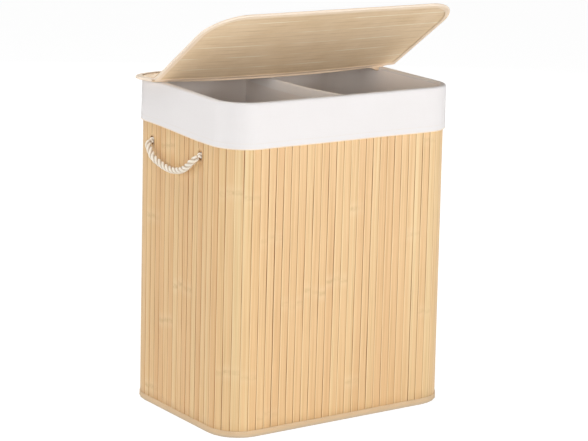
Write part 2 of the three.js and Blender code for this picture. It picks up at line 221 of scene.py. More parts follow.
def addTube(name, line, radius, material, closed=False, sides=10):
    # a round bar along a line that is nowhere upright
    line = np.asarray(line, float)
    count = len(line)
    along = unit(np.roll(line, -1, 0) - np.roll(line, 1, 0) if closed else np.gradient(line, axis=0))
    out = unit(np.cross(along, (0, 0, 1)))
    up = np.cross(out, along)
    points, faces, uv = [], [], []
    for k in range(sides):
        angle = 2 * math.pi * k / sides
        points += list(line + radius * (out * math.cos(angle) + up * math.sin(angle)))
    at = runLengths(line)
    around = 2 * math.pi * radius / sides
    for k in range(sides):
        after = (k + 1) % sides
        low, high = k * around, k * around + around
        for i in range(count if closed else count - 1):
            j = (i + 1) % count
            faces.append((k * count + i, k * count + j, after * count + j, after * count + i))
            uv += [(at[i], low), (at[i] + 0.005, low), (at[i] + 0.005, high), (at[i], high)]
    if not closed:
        faces += [[k * count for k in range(sides)], [k * count + count - 1 for k in reversed(range(sides))]]
        uv += [(0.0, 0.0)] * sides * 2
    return addMesh(name, points, faces, material, uv)


def dress(piece, body, slot, *nodes):
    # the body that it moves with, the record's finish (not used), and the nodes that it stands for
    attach(piece, body)
    if nodes:
        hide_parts(*nodes)


def dressSheet(piece, held, restsOn, body, slot, *nodes, area=None):
    dress(piece, body, slot, *nodes)


def bakeTree(piece):
    # the evaluated result becomes the piece's own plain mesh
    depsgraph = bpy.context.evaluated_depsgraph_get()
    mesh = bpy.data.meshes.new_from_object(piece.evaluated_get(depsgraph), depsgraph=depsgraph)
    piece.modifiers.clear()
    piece.data = mesh
    return piece


def runTree(name, mesh, tree, values):
    piece = bpy.data.objects.new(name, mesh)
    modifier = piece.modifiers.new("shape", "NODES")
    modifier.node_group = tree
    for item in tree.interface.items_tree:
        if item.item_type == "SOCKET" and item.in_out == "INPUT" and item.name in values:
            modifier[item.identifier] = values[item.name]
    bpy.context.scene.collection.objects.link(piece)
    return bakeTree(piece)


def startTree(name, inputs):
    tree = bpy.data.node_groups.new(name, "GeometryNodeTree")
    tree.interface.new_socket("Geometry", in_out="INPUT", socket_type="NodeSocketGeometry")
    for inputName, kind in inputs.items():
        tree.interface.new_socket(inputName, in_out="INPUT", socket_type="NodeSocket" + kind)
    tree.interface.new_socket("Geometry", in_out="OUTPUT", socket_type="NodeSocketGeometry")
    add = partial(addNode, tree)
    return tree, add, add("NodeGroupInput").outputs


def pointPositions(piece):
    at = np.zeros(len(piece.data.vertices) * 3, np.float32)
    piece.data.vertices.foreach_get("co", at)
    return at.reshape(-1, 3).astype(float)


def movePoints(piece, at):
    piece.data.vertices.foreach_set("co", np.asarray(at, np.float32).ravel())
    piece.data.update()


# Paths
def rimLoop(frontSteps, sideSteps, cornerSteps=hamper["cornerSlats"]):
    # places and outward directions round the slats' outer face, anticlockwise from the front's left end
    halfW, halfD = hamper["width"] / 2 - hamper["corner"], hamper["depth"] / 2 - hamper["corner"]
    middles = np.array([(halfW, -halfD), (halfW, halfD), (-halfW, halfD), (-halfW, -halfD)])
    places, normals = [], []
    for side, middle in enumerate(middles):
        steps = sideSteps if side % 2 else frontSteps
        spots = [(i / steps, 0) for i in range(steps)]
        spots += [(1, 90 * i / cornerSteps) for i in range(cornerSteps)]
        for share, turn in spots:
            angle = math.radians(90 * (side - 1) + turn)
            normal = np.array([math.cos(angle), math.sin(angle)])
            normals.append(normal)
            places.append(middles[side - 1] * (1 - share) + middle * share + normal * hamper["corner"])
    return np.array(places), np.array(normals)


def loopRows(places, normals, profile, extra=None):
    # a grid from a profile of (offset, height) pairs; extra gives a point's own added offset and height
    rows = []
    for row, (offset, height) in enumerate(profile):
        more = np.array([extra(row, p, n) if extra else (0, 0) for p, n in zip(places, normals)], float)
        rows.append(np.column_stack([places + normals * (offset + more[:, :1]), height + more[:, 1]]))
    return np.array(rows)


def arcPoints(middle, radius, start, end, steps):
    # points of an arc in the profile's plane, angles in degrees
    angles = [math.radians(start + (end - start) * i / steps) for i in range(steps + 1)]
    return [(middle[0] + radius * math.cos(a), middle[1] + radius * math.sin(a)) for a in angles]


def lineSteps(start, end, steps):
    return [tuple(start[k] + (end[k] - start[k]) * i / steps for k in (0, 1)) for i in range(steps + 1)]


def ripple(x, y, z, size, depth):
    # smooth noise of about that size and depth in metres
    return depth * noise.noise(Vector((x, y, z)) / size)


def ramp(value, start, end):
    # from 0 at start to 1 at end
    return min(1.0, max(0.0, (value - start) / (end - start)))


def hingeRise(x):
    # the lid's long slats are bowed: they lie higher towards their ends, the left one most
    share = x / (lid["width"] / 2)
    return lid["bow"] * share ** 2 - lid["tilt"] * share - lid["dip"]


def rimRise(x, y):
    # the rim bears the bowed hinge, and comes down to its own level towards the front and the back
    sides = ramp(y, hamper["riseFrom"], lid["hingeY"]) * ramp(y, hamper["depth"] / 2, lid["hingeY"])
    return max(0.0, hingeRise(x)) * sides


def flareOut(points):
    at = np.array(points, float)
    aside = np.clip(at[..., 0] / (hamper["width"] / 2), 0, 1)
    at[..., 0] += hamper["flare"] * aside * np.clip(1 - at[..., 2] / hamper["flareTop"], 0, 1)
    return at


# Materials
bambooLook = {
    "tones": [(0.0, "#E1C696"), (0.3, "#DFBB8A"), (0.52, "#DCB584"), (0.76, "#D6AD7C"), (1.0, "#CDAB7B")],
    "fibreShade": "#BD925C",
    "fibreAmount": 0.42,
    "fibreSize": (0.0024, 0.22),  # real fibre bundles are 0.4 mm wide; drawn coarser so that they show
    "streakSize": (0.006, 0.5),
    # darker sawn edges, partly painted shade of the gaps between strips
    "edge": "#A4641F",
    # painted highlight on one rounded arris
    "paintedArrisHighlight": "#EFD8AC",
    "nodeSpacing": 0.34,
    "nodeShade": "#B08D5A",
    "nodeHalo": "#EBD6AE",
    "blotchSize": (0.008, 0.006),
    "roughness": (0.42, 0.58),
    "grainDepth": 0.00022,
}


def bambooMaterial(name, alongAxis):
    # Split bamboo, planed, sanded and lightly varnished: straight fine fibres, a satin shine, a tone for
    # each strip and smudged joints of the cane; darker sawn edges that also carry painted shade of the gaps,
    # and a painted highlight on one arris.
    look = bambooLook
    material, add = startMaterial(name)
    place = add("TexCoord").outputs["Object"]
    marks = ("slatSeed", "slatTone", "across", "jointAt", "jointShow")
    held = [add("Attribute", attribute_name=mark).outputs["Fac"] for mark in marks]
    seed, tone, across, jointAt, jointShow = held
    shift = add("VectorMath", (3.1, 5.3, 7.7), {"Scale": seed}, operation="SCALE")
    own = add("VectorMath", place, shift, operation="ADD")
    patterns = []
    for size, detail in ((look["fibreSize"], 2.5), (look["streakSize"], 2.0), (look["blotchSize"], 2.0)):
        scale = tuple(1 / size[axis == alongAxis] for axis in range(3))
        stretched = add("Mapping", {"Vector": own, "Scale": scale})
        patterns.append(add("TexNoise", {"Vector": stretched, "Scale": 1.0, "Detail": detail}))
    fibre, streak, blotch = patterns

    # the joints of the cane: a soft brownish smudge in a paler field
    height = add("Math", add("SeparateXYZ", place).outputs[alongAxis], jointAt, operation="SUBTRACT")
    fromJoint = add("Math", height, look["nodeSpacing"] / 2, operation="PINGPONG")
    near = add("MapRange", fromJoint, 0.0008, 0.0075, 1.0, 0.0, interpolation_type="SMOOTHSTEP")
    around = add("MapRange", fromJoint, 0.004, 0.022, 0.3, 0.0, interpolation_type="SMOOTHSTEP")
    patchy = add("Math", near, add("MapRange", blotch, 0.3, 0.62), operation="MULTIPLY")
    smudge = add("Math", patchy, jointShow, operation="MULTIPLY")
    # painted highlight on one arris, as light catching its rounded edge; the sawn sides are darker, partly
    # painted shade of the gaps
    sawnEdgeAndGapShade = add("Math", add("MapRange", across, -0.83, -0.95, 0.0, 0.6),
               add("MapRange", across, 0.96, 1.0, 0.0, 0.5), operation="MAXIMUM")

    toneAt = add("Math", tone, add("MapRange", streak, 0.25, 0.75, -0.2, 0.2), operation="ADD")
    colour = add("ValToRGB", toneAt, stops=look["tones"])
    for amount, shade in (
        (add("MapRange", fibre, 0.46, 0.72, 0.0, look["fibreAmount"]), look["fibreShade"]),
        (add("Math", around, jointShow, operation="MULTIPLY"), look["nodeHalo"]),
        (add("Math", smudge, 0.55, operation="MULTIPLY"), look["nodeShade"]),
        (add("MapRange", across, 0.70, 0.84, 0.0, 0.6), look["paintedArrisHighlight"]),
        (sawnEdgeAndGapShade, look["edge"]),
    ):
        colour = add("Mix", {0: amount, 6: colour, 7: shade}, data_type="RGBA")
    satin = add("MapRange", fibre, 0.3, 0.7, *look["roughness"])
    relief = add("Math", smudge, -1.2, fibre, operation="MULTIPLY_ADD")
    return endMaterial(material, add, {
        "Base Color": colour,
        "Roughness": add("Math", satin, sawnEdgeAndGapShade, operation="MAXIMUM"),
        "IOR": 1.5,
        "Normal": add("Bump", {"Strength": 0.5, "Distance": look["grainDepth"], "Height": relief}),
    })


def clothMaterial(name, look):
    # Woven cloth: a plain weave over and under, thicker yarns here and there, and soft creases.
    material, add = startMaterial(name)
    uv = add("UVMap", uv_map="weave").outputs[0]
    place = add("TexCoord").outputs["Object"]
    across, along = add("SeparateXYZ", uv).outputs[:2]
    waves = []
    for value in (across, along):
        turn = add("Math", value, math.pi / look["thread"], operation="MULTIPLY")
        waves.append(add("Math", turn, operation="SINE"))
    weave = add("Math", *waves, operation="MULTIPLY")
    slubs = []
    for size in (look["slubSize"], look["slubSize"][::-1]):
        stretched = add("Mapping", {"Vector": uv, "Scale": (1 / size[0], 1 / size[1], 1)})
        slubs.append(add("TexNoise", {"Vector": stretched, "Scale": 1.0, "Detail": 2.0}))
    crossing = add("Math", slubs[1], look["crossSlub"], operation="MULTIPLY")
    slub = add("Math", slubs[0], crossing, operation="ADD")
    mottle = add("TexNoise", {"Vector": place, "Scale": look["mottleScale"], "Detail": 3.0})
    thicker = add("MapRange", slub, 0.4, 0.7 + 0.5 * look["crossSlub"], 0.0, look["slubAmount"])
    cloudy = add("MapRange", mottle, 0.35, 0.7, 0.0, look["mottleAmount"])
    layers = [
        (add("Math", thicker, cloudy, operation="ADD", use_clamp=True), look["shade"]),
        (add("MapRange", weave, -1.0, 0.2, look["poreAmount"], 0.0), look["pore"]),
    ]
    if "rows" in look:
        # painted shade in the grooves at the slat joints, and thin, broken lines of painted light, as light
        # shining through the gaps between the strips
        rows = look["rows"]
        fromSlat = add("Math", along, rows["slatPitch"] / 2, operation="PINGPONG")
        groove = add("MapRange", fromSlat, 0.0004, 0.0022, 1.0, 0.0)
        faint = add("MapRange", slubs[0], 0.4, 0.65, 0.05, rows["slatAmount"])
        layers.append((add("Math", groove, faint, operation="MULTIPLY"), rows["paintedSlatGrooveShade"]))
        fromRow = add("Math", along, rows["spacing"] / 2, operation="PINGPONG")
        line = add("MapRange", fromRow, rows["width"] * 0.3, rows["width"], 1.0, 0.0)
        stretched = add("Mapping", {"Vector": uv, "Scale": rows["breaks"]})
        broken = add("TexNoise", {"Vector": stretched, "Scale": 1.0, "Detail": 1.0})
        paintedLightAmount = add("MapRange", broken, 0.40, 0.56, 0.15, rows["amount"])
        layers.append((add("Math", line, paintedLightAmount, operation="MULTIPLY"), rows["colour"]))
    # painted shade, greyer and darker towards the foot
    if "footShade" in look:
        footShade = look["footShade"]
        height = add("SeparateXYZ", place).outputs[2]
        footShadeAmount = add("MapRange", height, footShade["low"], footShade["high"], footShade["amount"], 0.0)
        layers.append((footShadeAmount, footShade["colour"]))
    final = look["colour"]
    for amount, shade in layers:
        final = add("Mix", {0: amount, 6: final, 7: shade}, data_type="RGBA")
    creases = add("TexNoise", {
        "Vector": place, "Scale": look["creaseScale"], "Detail": 2.0, "Distortion": 0.6})
    relief = add("Math", slub, 0.7, weave, operation="MULTIPLY_ADD")
    fine = add("Bump", {"Strength": look["weaveStrength"], "Distance": 0.0004, "Height": relief})
    return endMaterial(material, add, {
        "Base Color": final,
        "Roughness": look["roughness"],
        "Sheen Weight": look["sheen"],
        "Specular IOR Level": 0.25,
        "Normal": add("Bump", {
            "Strength": look["creaseStrength"], "Distance": 0.004, "Height": creases, "Normal": fine}),
    })


cottonLook = {
    "poreAmount": 0.25,
    "thread": 0.0011,  # real yarns are 0.3 mm apart; drawn coarser so that the weave shows close by
    "slubSize": (0.05, 0.0012), "crossSlub": 0.8, "slubAmount": 0.25,
    "mottleScale": 9.0, "mottleAmount": 0.2, "creaseScale": 16.0, "creaseStrength": 0.18,
    "weaveStrength": 0.22, "roughness": 0.92, "sheen": 0.08,
}
tapeLook = {
    "poreAmount": 0.3,
    "thread": 0.0010,  # a 0.5 mm twill, drawn coarser
    "slubSize": (0.03, 0.0010), "crossSlub": 0.5, "slubAmount": 0.5,
    "mottleScale": 22.0, "mottleAmount": 0.35, "creaseScale": 60.0, "creaseStrength": 0.2,
    "weaveStrength": 0.35, "roughness": 0.85, "sheen": 0.06,
}
linenLook = {
    "poreAmount": 0.3,
    "thread": 0.0012,  # a 0.6 mm open linen weave, drawn coarser
    "slubSize": (0.07, 0.0014), "crossSlub": 0.25, "slubAmount": 0.75,
    "mottleScale": 12.0, "mottleAmount": 0.45, "creaseScale": 40.0, "creaseStrength": 0.15,
    "weaveStrength": 0.3, "roughness": 0.82, "sheen": 0.05,
}
# painted shade at the slat joints and painted light through the gaps between strips, on the lid's lining
liningLightAndShadeLines = {
    "spacing": 0.0465, "width": 0.0016, "breaks": (9.0, 24.0, 1.0), "amount": 1.0, "colour": "#FBF0DA",
    "slatPitch": 0.0155, "slatAmount": 0.5, "paintedSlatGrooveShade": "#C3A47B",
}
# painted shade: the foot tape turns greyer and darker towards its lower edge, where it meets the floor
footShadeLook = {"low": 0.0015, "high": 0.0075, "colour": "#C2B29B", "amount": 0.75}
# each cloth's name, its weave, its three colours from light to dark, and what sets it apart
cloths = {
    "cotton": ("white_cotton_canvas", cottonLook, "#E9E6E6 #E1DDDC #D1CBC8", {}),
    # a lighter copy of the white cotton: painted light for the bins' shaded inside
    "linerInside": ("cotton_lining_painted_light", cottonLook, "#FAF4F0 #F0E7E1 #DED1C8", {"creaseStrength": 0.35}),
    # a whiter copy of the cotton: painted highlight along the divider's hem
    "hem": ("cotton_hem_painted_highlight", cottonLook, "#FDFAF8 #F7F2EF #E6DFDA", {}),
    "tape": ("cotton_binding_tape", tapeLook, "#E9D2B0 #DDC29C #B99C74", {}),
    "footTape": ("cotton_foot_tape", tapeLook, "#DFC5A3 #D3B58F #B3946D", {"footShade": footShadeLook}),
    "piping": ("cream_piping", tapeLook, "#F8E9D8 #F0DCC6 #D8BFA2", {}),
    "hingeTape": ("hinge_twill_tape", tapeLook, "#F4DFC6 #EACFB2 #CBA984", {}),
    "backing": ("glued_backing_cloth", tapeLook, "#B97C39 #A56A2A #7E501D", {}),
    "lining": ("lid_linen_lining", linenLook, "#F5DDBC #E3C69E #C5A27A", {"rows": liningLightAndShadeLines}),
    # a paler copy of the lid lining: painted highlight on the lid's rolled edge
    "edgeBand": ("linen_edge_band_painted_highlight", linenLook, "#FBE9D4 #F0D8BB #D2B38D", {}),
}
ropeLook = {
    # the groove colour is painted shade where the strands meet
    "colour": "#FFF8EC", "shade": "#F3E6CF", "groove": "#A98457",
    "yarn": 0.0021,  # yarns of 0.8 mm, drawn coarser so that the lay shows
    "roughness": 0.9,
    "radius": 0.0064, "lay": 0.037,
}


def ropeMaterial(name):
    # Laid cotton rope: soft matt yarns that wind round each strand, and short loose fibres.
    look = ropeLook
    material, add = startMaterial(name)
    place = add("TexCoord").outputs["Object"]
    aroundStrand, along = add("SeparateXYZ", add("UVMap", uv_map="weave")).outputs[:2]
    wound = add("Math", add("Math", along, 2 * math.pi / look["yarn"], operation="MULTIPLY"),
                add("Math", aroundStrand, 2 * math.pi, operation="MULTIPLY"), operation="ADD")
    yarn = add("Math", wound, operation="SINE")
    fuzz = add("TexNoise", {"Vector": place, "Scale": 900.0, "Detail": 3.0})
    soil = add("TexNoise", {"Vector": place, "Scale": 70.0, "Detail": 2.0})
    between, soiled = add("MapRange", yarn, -1.0, 0.3, 0.5, 0.0), add("MapRange", soil, 0.4, 0.7, 0.0, 0.4)
    amount = add("Math", between, soiled, operation="ADD", use_clamp=True)
    tinted = add("Mix", {0: amount, 6: look["colour"], 7: look["shade"]}, data_type="RGBA")
    # painted shade: the strands' sides that face the rope's core are darker, where the strands shade each
    # other
    inward = add("Attribute", attribute_name="inward").outputs["Fac"]
    paintedCoreShade = add("MapRange", inward, 0.1, 0.8, 0.0, 0.85)
    relief = add("Math", fuzz, 0.9, yarn, operation="MULTIPLY_ADD")
    return endMaterial(material, add, {
        "Base Color": add("Mix", {0: paintedCoreShade, 6: tinted, 7: look["groove"]}, data_type="RGBA"),
        "Roughness": look["roughness"],
        "Sheen Weight": 0.1,
        "Specular IOR Level": 0.2,
        "Normal": add("Bump", {"Strength": 0.7, "Distance": 0.0005, "Height": relief}),
    })


def wireMaterial(name):
    # Drawn and galvanised steel wire: grey and fairly bright, with a cloudy zinc skin.
    material, add = startMaterial(name)
    place = add("TexCoord").outputs["Object"]
    cloudy = add("TexNoise", {"Vector": place, "Scale": 240.0, "Detail": 4.0})
    return endMaterial(material, add, {
        "Base Color": add("ValToRGB", cloudy, stops=[(0.0, "#8E9295"), (1.0, "#C3C6C8")]),
        "Roughness": add("MapRange", cloudy, {"To Min": 0.28, "To Max": 0.5}),
        "Metallic": 1.0,
    })


def hardboardMaterial(name):
    # Pressed wood fibre: brown, smooth, with fine mottled fibres and a dull shine.
    material, add = startMaterial(name)
    place = add("TexCoord").outputs["Object"]
    fibres = add("TexNoise", {"Vector": place, "Scale": 420.0, "Detail": 6.0, "Distortion": 1.5})
    return endMaterial(material, add, {
        "Base Color": add("ValToRGB", fibres, stops=[(0.0, "#6E5034"), (0.5, "#936E48"), (1.0, "#B08C62")]),
        "Roughness": 0.62,
        "Normal": add("Bump", {"Strength": 0.3, "Distance": 0.0002, "Height": fibres}),
    })


finish = {
    "wallBamboo": bambooMaterial("bamboo_strips_upright", 2),
    "lidBamboo": bambooMaterial("bamboo_strips_lid", 0),
    "rope": ropeMaterial("laid_cotton_rope"),
    "wire": wireMaterial("galvanised_wire"),
    "hardboard": hardboardMaterial("hardboard"),
}
for key, (materialName, weave, colours, apart) in cloths.items():
    tones = dict(zip(("colour", "shade", "pore"), colours.split()))
    finish[key] = clothMaterial(materialName, {**weave, **tones, **apart})
print("stage: materials made")


# Rope handles and their knots
handle = {
    "span": 0.171,
    "middle": 0.0135,  # towards the back
    "z": 0.5215,
    "pivotX": 0.2638,
    "strands": 3,
    "ringStep": 0.0012,
    "sides": 12,
    "strandShare": 0.55,  # of the rope's radius
    "uneven": 0.05,
    "leastEnd": 0.02,  # keeps the round ends open by a hair
}
holeY = [handle["middle"] + way * handle["span"] / 2 for way in (-1, 1)]
# a point lies so far from the middle, out from the line through the holes and below it
loopRoute = [
    (0.0855, 0.0, 0.0), (0.0795, 0.0055, 0.007), (0.0685, 0.0087, 0.0155), (0.054, 0.010, 0.0265),
    (0.0345, 0.0086, 0.0338), (0.015, 0.0074, 0.0384), (-0.006, 0.0068, 0.0401), (-0.0265, 0.0064, 0.038),
    (-0.0455, 0.0065, 0.0328), (-0.0625, 0.0068, 0.0235), (-0.075, 0.0056, 0.013), (-0.0825, 0.0025, 0.0065),
    (-0.0855, 0.0, 0.0),
]
knotSizes = {
    "start": [(0.0055, 0, 0), (0.002, 0, 0), (-0.004, 0, 0), (-0.009, 0.0005, 0.0), (-0.0140, 0.002, 0.001)],
    "turns": 2,
    "turnSteps": 18,
    "turnRadius": 0.0078,
    "farTurn": -0.0160,
    "shift": 0.0082,  # the turns come back so far towards the wall
    "tail": [(-0.0082, 0.007, -0.006), (-0.0082, 0.001, -0.0130), (-0.0083, -0.0045, -0.0190),
             (-0.0084, -0.0085, -0.0235)],
    "radius": (0.0059, 0.0042),  # in the hole and in the pulled knot
    "thinning": (0.1, 0.18),  # shares of the length between which it gets thinner
    "pathStep": 0.0014,
}


def smoothPath(points, step, cuts=24):
    # a curve through the points, with an even step
    points = [np.array(p, float) for p in points]
    ends = [2 * points[0] - points[1]] + points + [2 * points[-1] - points[-2]]
    fine = []
    for a, b, c, d in zip(ends, ends[1:], ends[2:], ends[3:]):
        for t in (i / cuts for i in range(cuts)):
            bend = (2 * a - 5 * b + 4 * c - d) * t * t + (3 * b - a - 3 * c + d) * t ** 3
            fine.append(0.5 * (2 * b + (c - a) * t + bend))
    fine = np.array(fine + [points[-1]])
    at = runLengths(fine)
    spots = np.linspace(0, at[-1], max(3, round(at[-1] / step) + 1))
    return np.column_stack([np.interp(spots, at, fine[:, k]) for k in range(3)])


def addRope(name, path, radius):
    # three strands laid round the path, drawn in to a round end at both ends
    path = np.asarray(path, float)
    tangents = unit(np.gradient(path, axis=0))
    side = unit(np.cross(tangents[0], (0.3, 0.1, 0.9)))
    frames = []
    for tangent in tangents:
        side = unit(side - tangent * side.dot(tangent))
        frames.append((side, np.cross(tangent, side)))
    at = runLengths(path)
    radii = np.broadcast_to(radius, at.shape)
    points, faces, uv, inward = [], [], [], []
    sides, last = handle["sides"], len(path) - 1
    for strand in range(handle["strands"]):
        start = len(points)
        for i, (middle, (u, v)) in enumerate(zip(path, frames)):
            big = radii[i]
            fromEnd = min(at[i], at[-1] - at[i])
            rounding = max(handle["leastEnd"], 1 - (1 - fromEnd / big) ** 2)
            share = math.sqrt(rounding) if fromEnd < big else 1
            turn = 2 * math.pi * (at[i] / ropeLook["lay"] + strand / handle["strands"])
            out = u * math.cos(turn) + v * math.sin(turn)
            around = np.cross(np.cross(u, v), out)
            uneven = 1 + handle["uneven"] * noise.noise(Vector((at[i] * 90, strand * 5.0, 0)))
            thick = big * handle["strandShare"] * share * uneven
            centre = middle + out * big * (1 - handle["strandShare"]) * share
            for k in range(sides):
                angle = 2 * math.pi * k / sides
                points.append(centre + (out * math.cos(angle) + around * math.sin(angle)) * thick)
                inward.append(0.5 - 0.5 * math.cos(angle))
        for i in range(last):
            for k in range(sides):
                a, b = start + i * sides + k, start + i * sides + (k + 1) % sides
                faces.append((a, b, b + sides, a + sides))
                uv += [(k / sides, at[i]), ((k + 1) / sides, at[i]),
                       ((k + 1) / sides, at[i + 1]), (k / sides, at[i + 1])]
        for ring, order in ((0, -1), (last, 1)):
            faces.append([start + ring * sides + k for k in range(sides)][::order])
            uv += [(0.0, at[ring])] * sides
    piece = addMesh(name, points, faces, finish["rope"], uv, smoothAngle=0)
    piece.data.attributes.new("inward", "FLOAT", "POINT").data.foreach_set("value", inward)
    return piece


def addHandle(sideName, side):
    route = [(side * (handle["pivotX"] + out), handle["middle"] + along, handle["z"] - drop)
             for along, out, drop in loopRoute]
    path = smoothPath(route, handle["ringStep"])
    rope = addRope(sideName + "_rope", path, ropeLook["radius"])
    dress(rope, sideName + "_handle", "rope", sideName + "_rope_handle")


def addKnot(name, side, y):
    # from the hole's mouth through the wall, turns behind it from the far one back, and a tail down the wall
    look = knotSizes
    steps = look["turns"] * look["turnSteps"]
    turns = []
    for i in range(steps + 1):
        angle = 2 * math.pi * i / look["turnSteps"]
        out = look["turnRadius"] * min(1, 0.35 + i / 10)
        behind = look["farTurn"] + look["shift"] * i / steps
        turns.append((behind, out * math.cos(angle), out * math.sin(angle)))
    route = [(side * (hamper["width"] / 2 + out), y + along, handle["z"] + up)
             for out, along, up in look["start"] + turns + look["tail"]]
    path = smoothPath(route, look["pathStep"])
    inHole, inKnot = look["radius"]
    spots = np.linspace(0, 1, len(path))
    radii = inHole + (inKnot - inHole) * np.array([ramp(spot, *look["thinning"]) for spot in spots])
    dress(addRope(name + "_stopper", path, radii), "hamper", "rope", name + "_knot")


for sideName, side in (("left", -1), ("right", 1)):
    addHandle(sideName, side)
print("stage: rope handles made")
for sideName, side in (("left", -1), ("right", 1)):
    addKnot(sideName + "_front", side, holeY[0])
    addKnot(sideName + "_rear", side, holeY[1])
print("stage: knots made")


# Slats, made by a node tree that sets one strip on each given place
slatSizes = {
    "pitch": 0.0168,
    "edgeRound": 0.0003,
    "gap": 0.0003,
    "gapSpread": 0.0013,
    "bend": 0.0005,
    "holeRadius": 0.0078,
    "clothHole": 0.0066,  # the cloth behind fits the rope more closely
    "holeDepth": 0.02,
    "holeSides": 28,
}


def slatTree(name, trimmed):
    sizes = ["Slat Width", "Slat Length", "Slat Thickness", "Edge Round", "Width Spread", "Bend"]
    if trimmed:
        sizes += ["Half Width", "Corner Radius", "Leaf Length"]
    inputs = {**dict.fromkeys(sizes, "Float"), "Rows": "Int", "Seed": "Int", "Material": "Material"}
    tree, add, given = startTree(name, inputs)
    attributes = ("turn", "pitchShare", "across", "slatTone", "slatSeed", "jointAt", "jointShow")
    held = {a: add("GeometryNodeInputNamedAttribute", {"Name": a}, data_type="FLOAT") for a in attributes}
    x, y, z = add("SeparateXYZ", add("GeometryNodeInputPosition")).outputs

    # the strip: closer rows at its edges, and the outer edges rounded off
    size = add("CombineXYZ", given["Slat Width"], given["Slat Thickness"], given["Slat Length"])
    bar = add("GeometryNodeMeshCube", size, 7, 2, given["Rows"])
    halfWide = add("Math", given["Slat Width"], 0.5, operation="MULTIPLY")
    share = add("Math", x, halfWide, operation="DIVIDE")
    aside = add("Math", share, operation="ABSOLUTE")
    inner = add("Math", add("Math", 1.0, aside, operation="SUBTRACT"), 2.2, operation="POWER")
    eased = add("Math", 1.0, inner, operation="SUBTRACT")
    spread = add("Math", add("Math", share, operation="SIGN"), eased, operation="MULTIPLY")
    drop = add("Math", add("Math", aside, 8.0, operation="POWER"), given["Edge Round"], operation="MULTIPLY")
    outerOnly = add("Math", drop, add("Math", y, 0.0, operation="GREATER_THAN"), operation="MULTIPLY")
    newX = add("Math", spread, halfWide, operation="MULTIPLY")
    newPlace = add("CombineXYZ", newX, add("Math", y, outerOnly, operation="SUBTRACT"), z)
    shaped = add("GeometryNodeSetPosition", {"Geometry": bar, "Position": newPlace})
    marked = add("GeometryNodeStoreNamedAttribute", {"Geometry": shaped, "Name": "across", "Value": share},
                 data_type="FLOAT", domain="POINT")

    # most gaps stay narrow and a few are wide
    tighter = add("FunctionNodeRandomValue", {2: 0.0, 3: given["Width Spread"], "Seed": given["Seed"]},
                  data_type="FLOAT")
    squared = add("Math", tighter, tighter, operation="MULTIPLY")
    narrower = add("Math", squared, given["Width Spread"], operation="DIVIDE")
    wide = add("Math", held["pitchShare"], narrower, operation="SUBTRACT")
    placed = add("GeometryNodeInstanceOnPoints", {
        "Points": given["Geometry"], "Instance": marked,
        "Rotation": add("FunctionNodeEulerToRotation", add("CombineXYZ", {2: held["turn"]})),
        "Scale": add("CombineXYZ", wide, 1.0, 1.0)})
    otherSeed = add("Math", given["Seed"], 7.0, operation="ADD")
    ownSeed = add("FunctionNodeRandomValue", {2: 0.05, 3: 1.0, "Seed": otherSeed}, data_type="FLOAT")
    seeded = add("GeometryNodeStoreNamedAttribute", {
        "Geometry": placed, "Name": "slatSeed", "Value": ownSeed}, data_type="FLOAT", domain="INSTANCE")
    loose = add("GeometryNodeRealizeInstances", {"Geometry": seeded})

    # each strip sways a little on its way along
    scaled = ((held["slatSeed"], 60.0), (held["across"], 0.25), (z, 7.0))
    spot = add("CombineXYZ", *(add("Math", *pair, operation="MULTIPLY") for pair in scaled))
    waves = add("TexNoise", {"Vector": spot, "Scale": 1.0, "Detail": 1.0})
    swing = add("Math", waves, 0.5, operation="SUBTRACT")
    sway = add("Math", swing, add("Math", given["Bend"], 4.0, operation="MULTIPLY"), operation="MULTIPLY")
    heading = add("CombineXYZ", add("Math", held["turn"], operation="COSINE"),
                  add("Math", held["turn"], operation="SINE"))
    offset = add("VectorMath", heading, {"Scale": sway}, operation="SCALE")
    bent = add("GeometryNodeSetPosition", {"Geometry": loose, "Offset": offset})
    if trimmed:
        # the ends follow the leaf's rounded outline
        radius, half = given["Corner Radius"], given["Half Width"]
        straight = add("Math", given["Leaf Length"], radius, operation="SUBTRACT")
        past = add("Math", add("Math", x, straight, operation="SUBTRACT"), 0.0, operation="MAXIMUM")
        past = add("Math", past, radius, operation="MINIMUM")
        squares = [add("Math", value, value, operation="MULTIPLY") for value in (radius, past)]
        chord = add("Math", add("Math", *squares, operation="SUBTRACT"), operation="SQRT")
        limit = add("Math", add("Math", half, radius, operation="SUBTRACT"), chord, operation="ADD")
        newZ = add("Math", z, add("Math", limit, half, operation="DIVIDE"), operation="MULTIPLY")
        bent = add("GeometryNodeSetPosition", {"Geometry": bent, "Position": add("CombineXYZ", x, y, newZ)})
    for attribute in ("slatTone", "slatSeed", "jointAt", "jointShow"):
        bent = add("GeometryNodeStoreNamedAttribute", {
            "Geometry": bent, "Name": attribute, "Value": held[attribute]}, data_type="FLOAT", domain="FACE")
    smooth = add("GeometryNodeSetShadeSmooth", {"Geometry": bent, "Shade Smooth": True})
    painted = add("GeometryNodeSetMaterial", {"Geometry": smooth, "Material": given["Material"]})
    add("NodeGroupOutput", painted)
    return tree


def placesMesh(name, places, values):
    mesh = bpy.data.meshes.new(name)
    mesh.from_pydata([tuple(p) for p in places], [], [])
    for attribute, numbers in values.items():
        mesh.attributes.new(attribute, "FLOAT", "POINT").data.foreach_set("value", numbers)
    return mesh


# each strip's tone runs along the bamboo's colours, from 0 to 1
wallTones = {
    "front": (0.25, 0.58),  # lowest and highest tone of the strips on the long sides
    "end": (0.12, 0.66),  # the short sides mix paler and darker strips
    "lowestJoint": 0.03,
    "seed": 11,
}


def caneJoints(count, dice, low, high):
    # strips split from one cane lie side by side and have their joints at about one height
    at, show = [], []
    while len(at) < count:
        together = dice.randint(2, 5)
        height = dice.uniform(low, high)
        strength = dice.choice((0, 0, 0.4, 0.7, 1))
        for _ in range(together):
            at.append(height + dice.uniform(-0.006, 0.006))
            show.append(strength * dice.uniform(0.3, 1))
    return {"jointAt": at[:count], "jointShow": show[:count]}


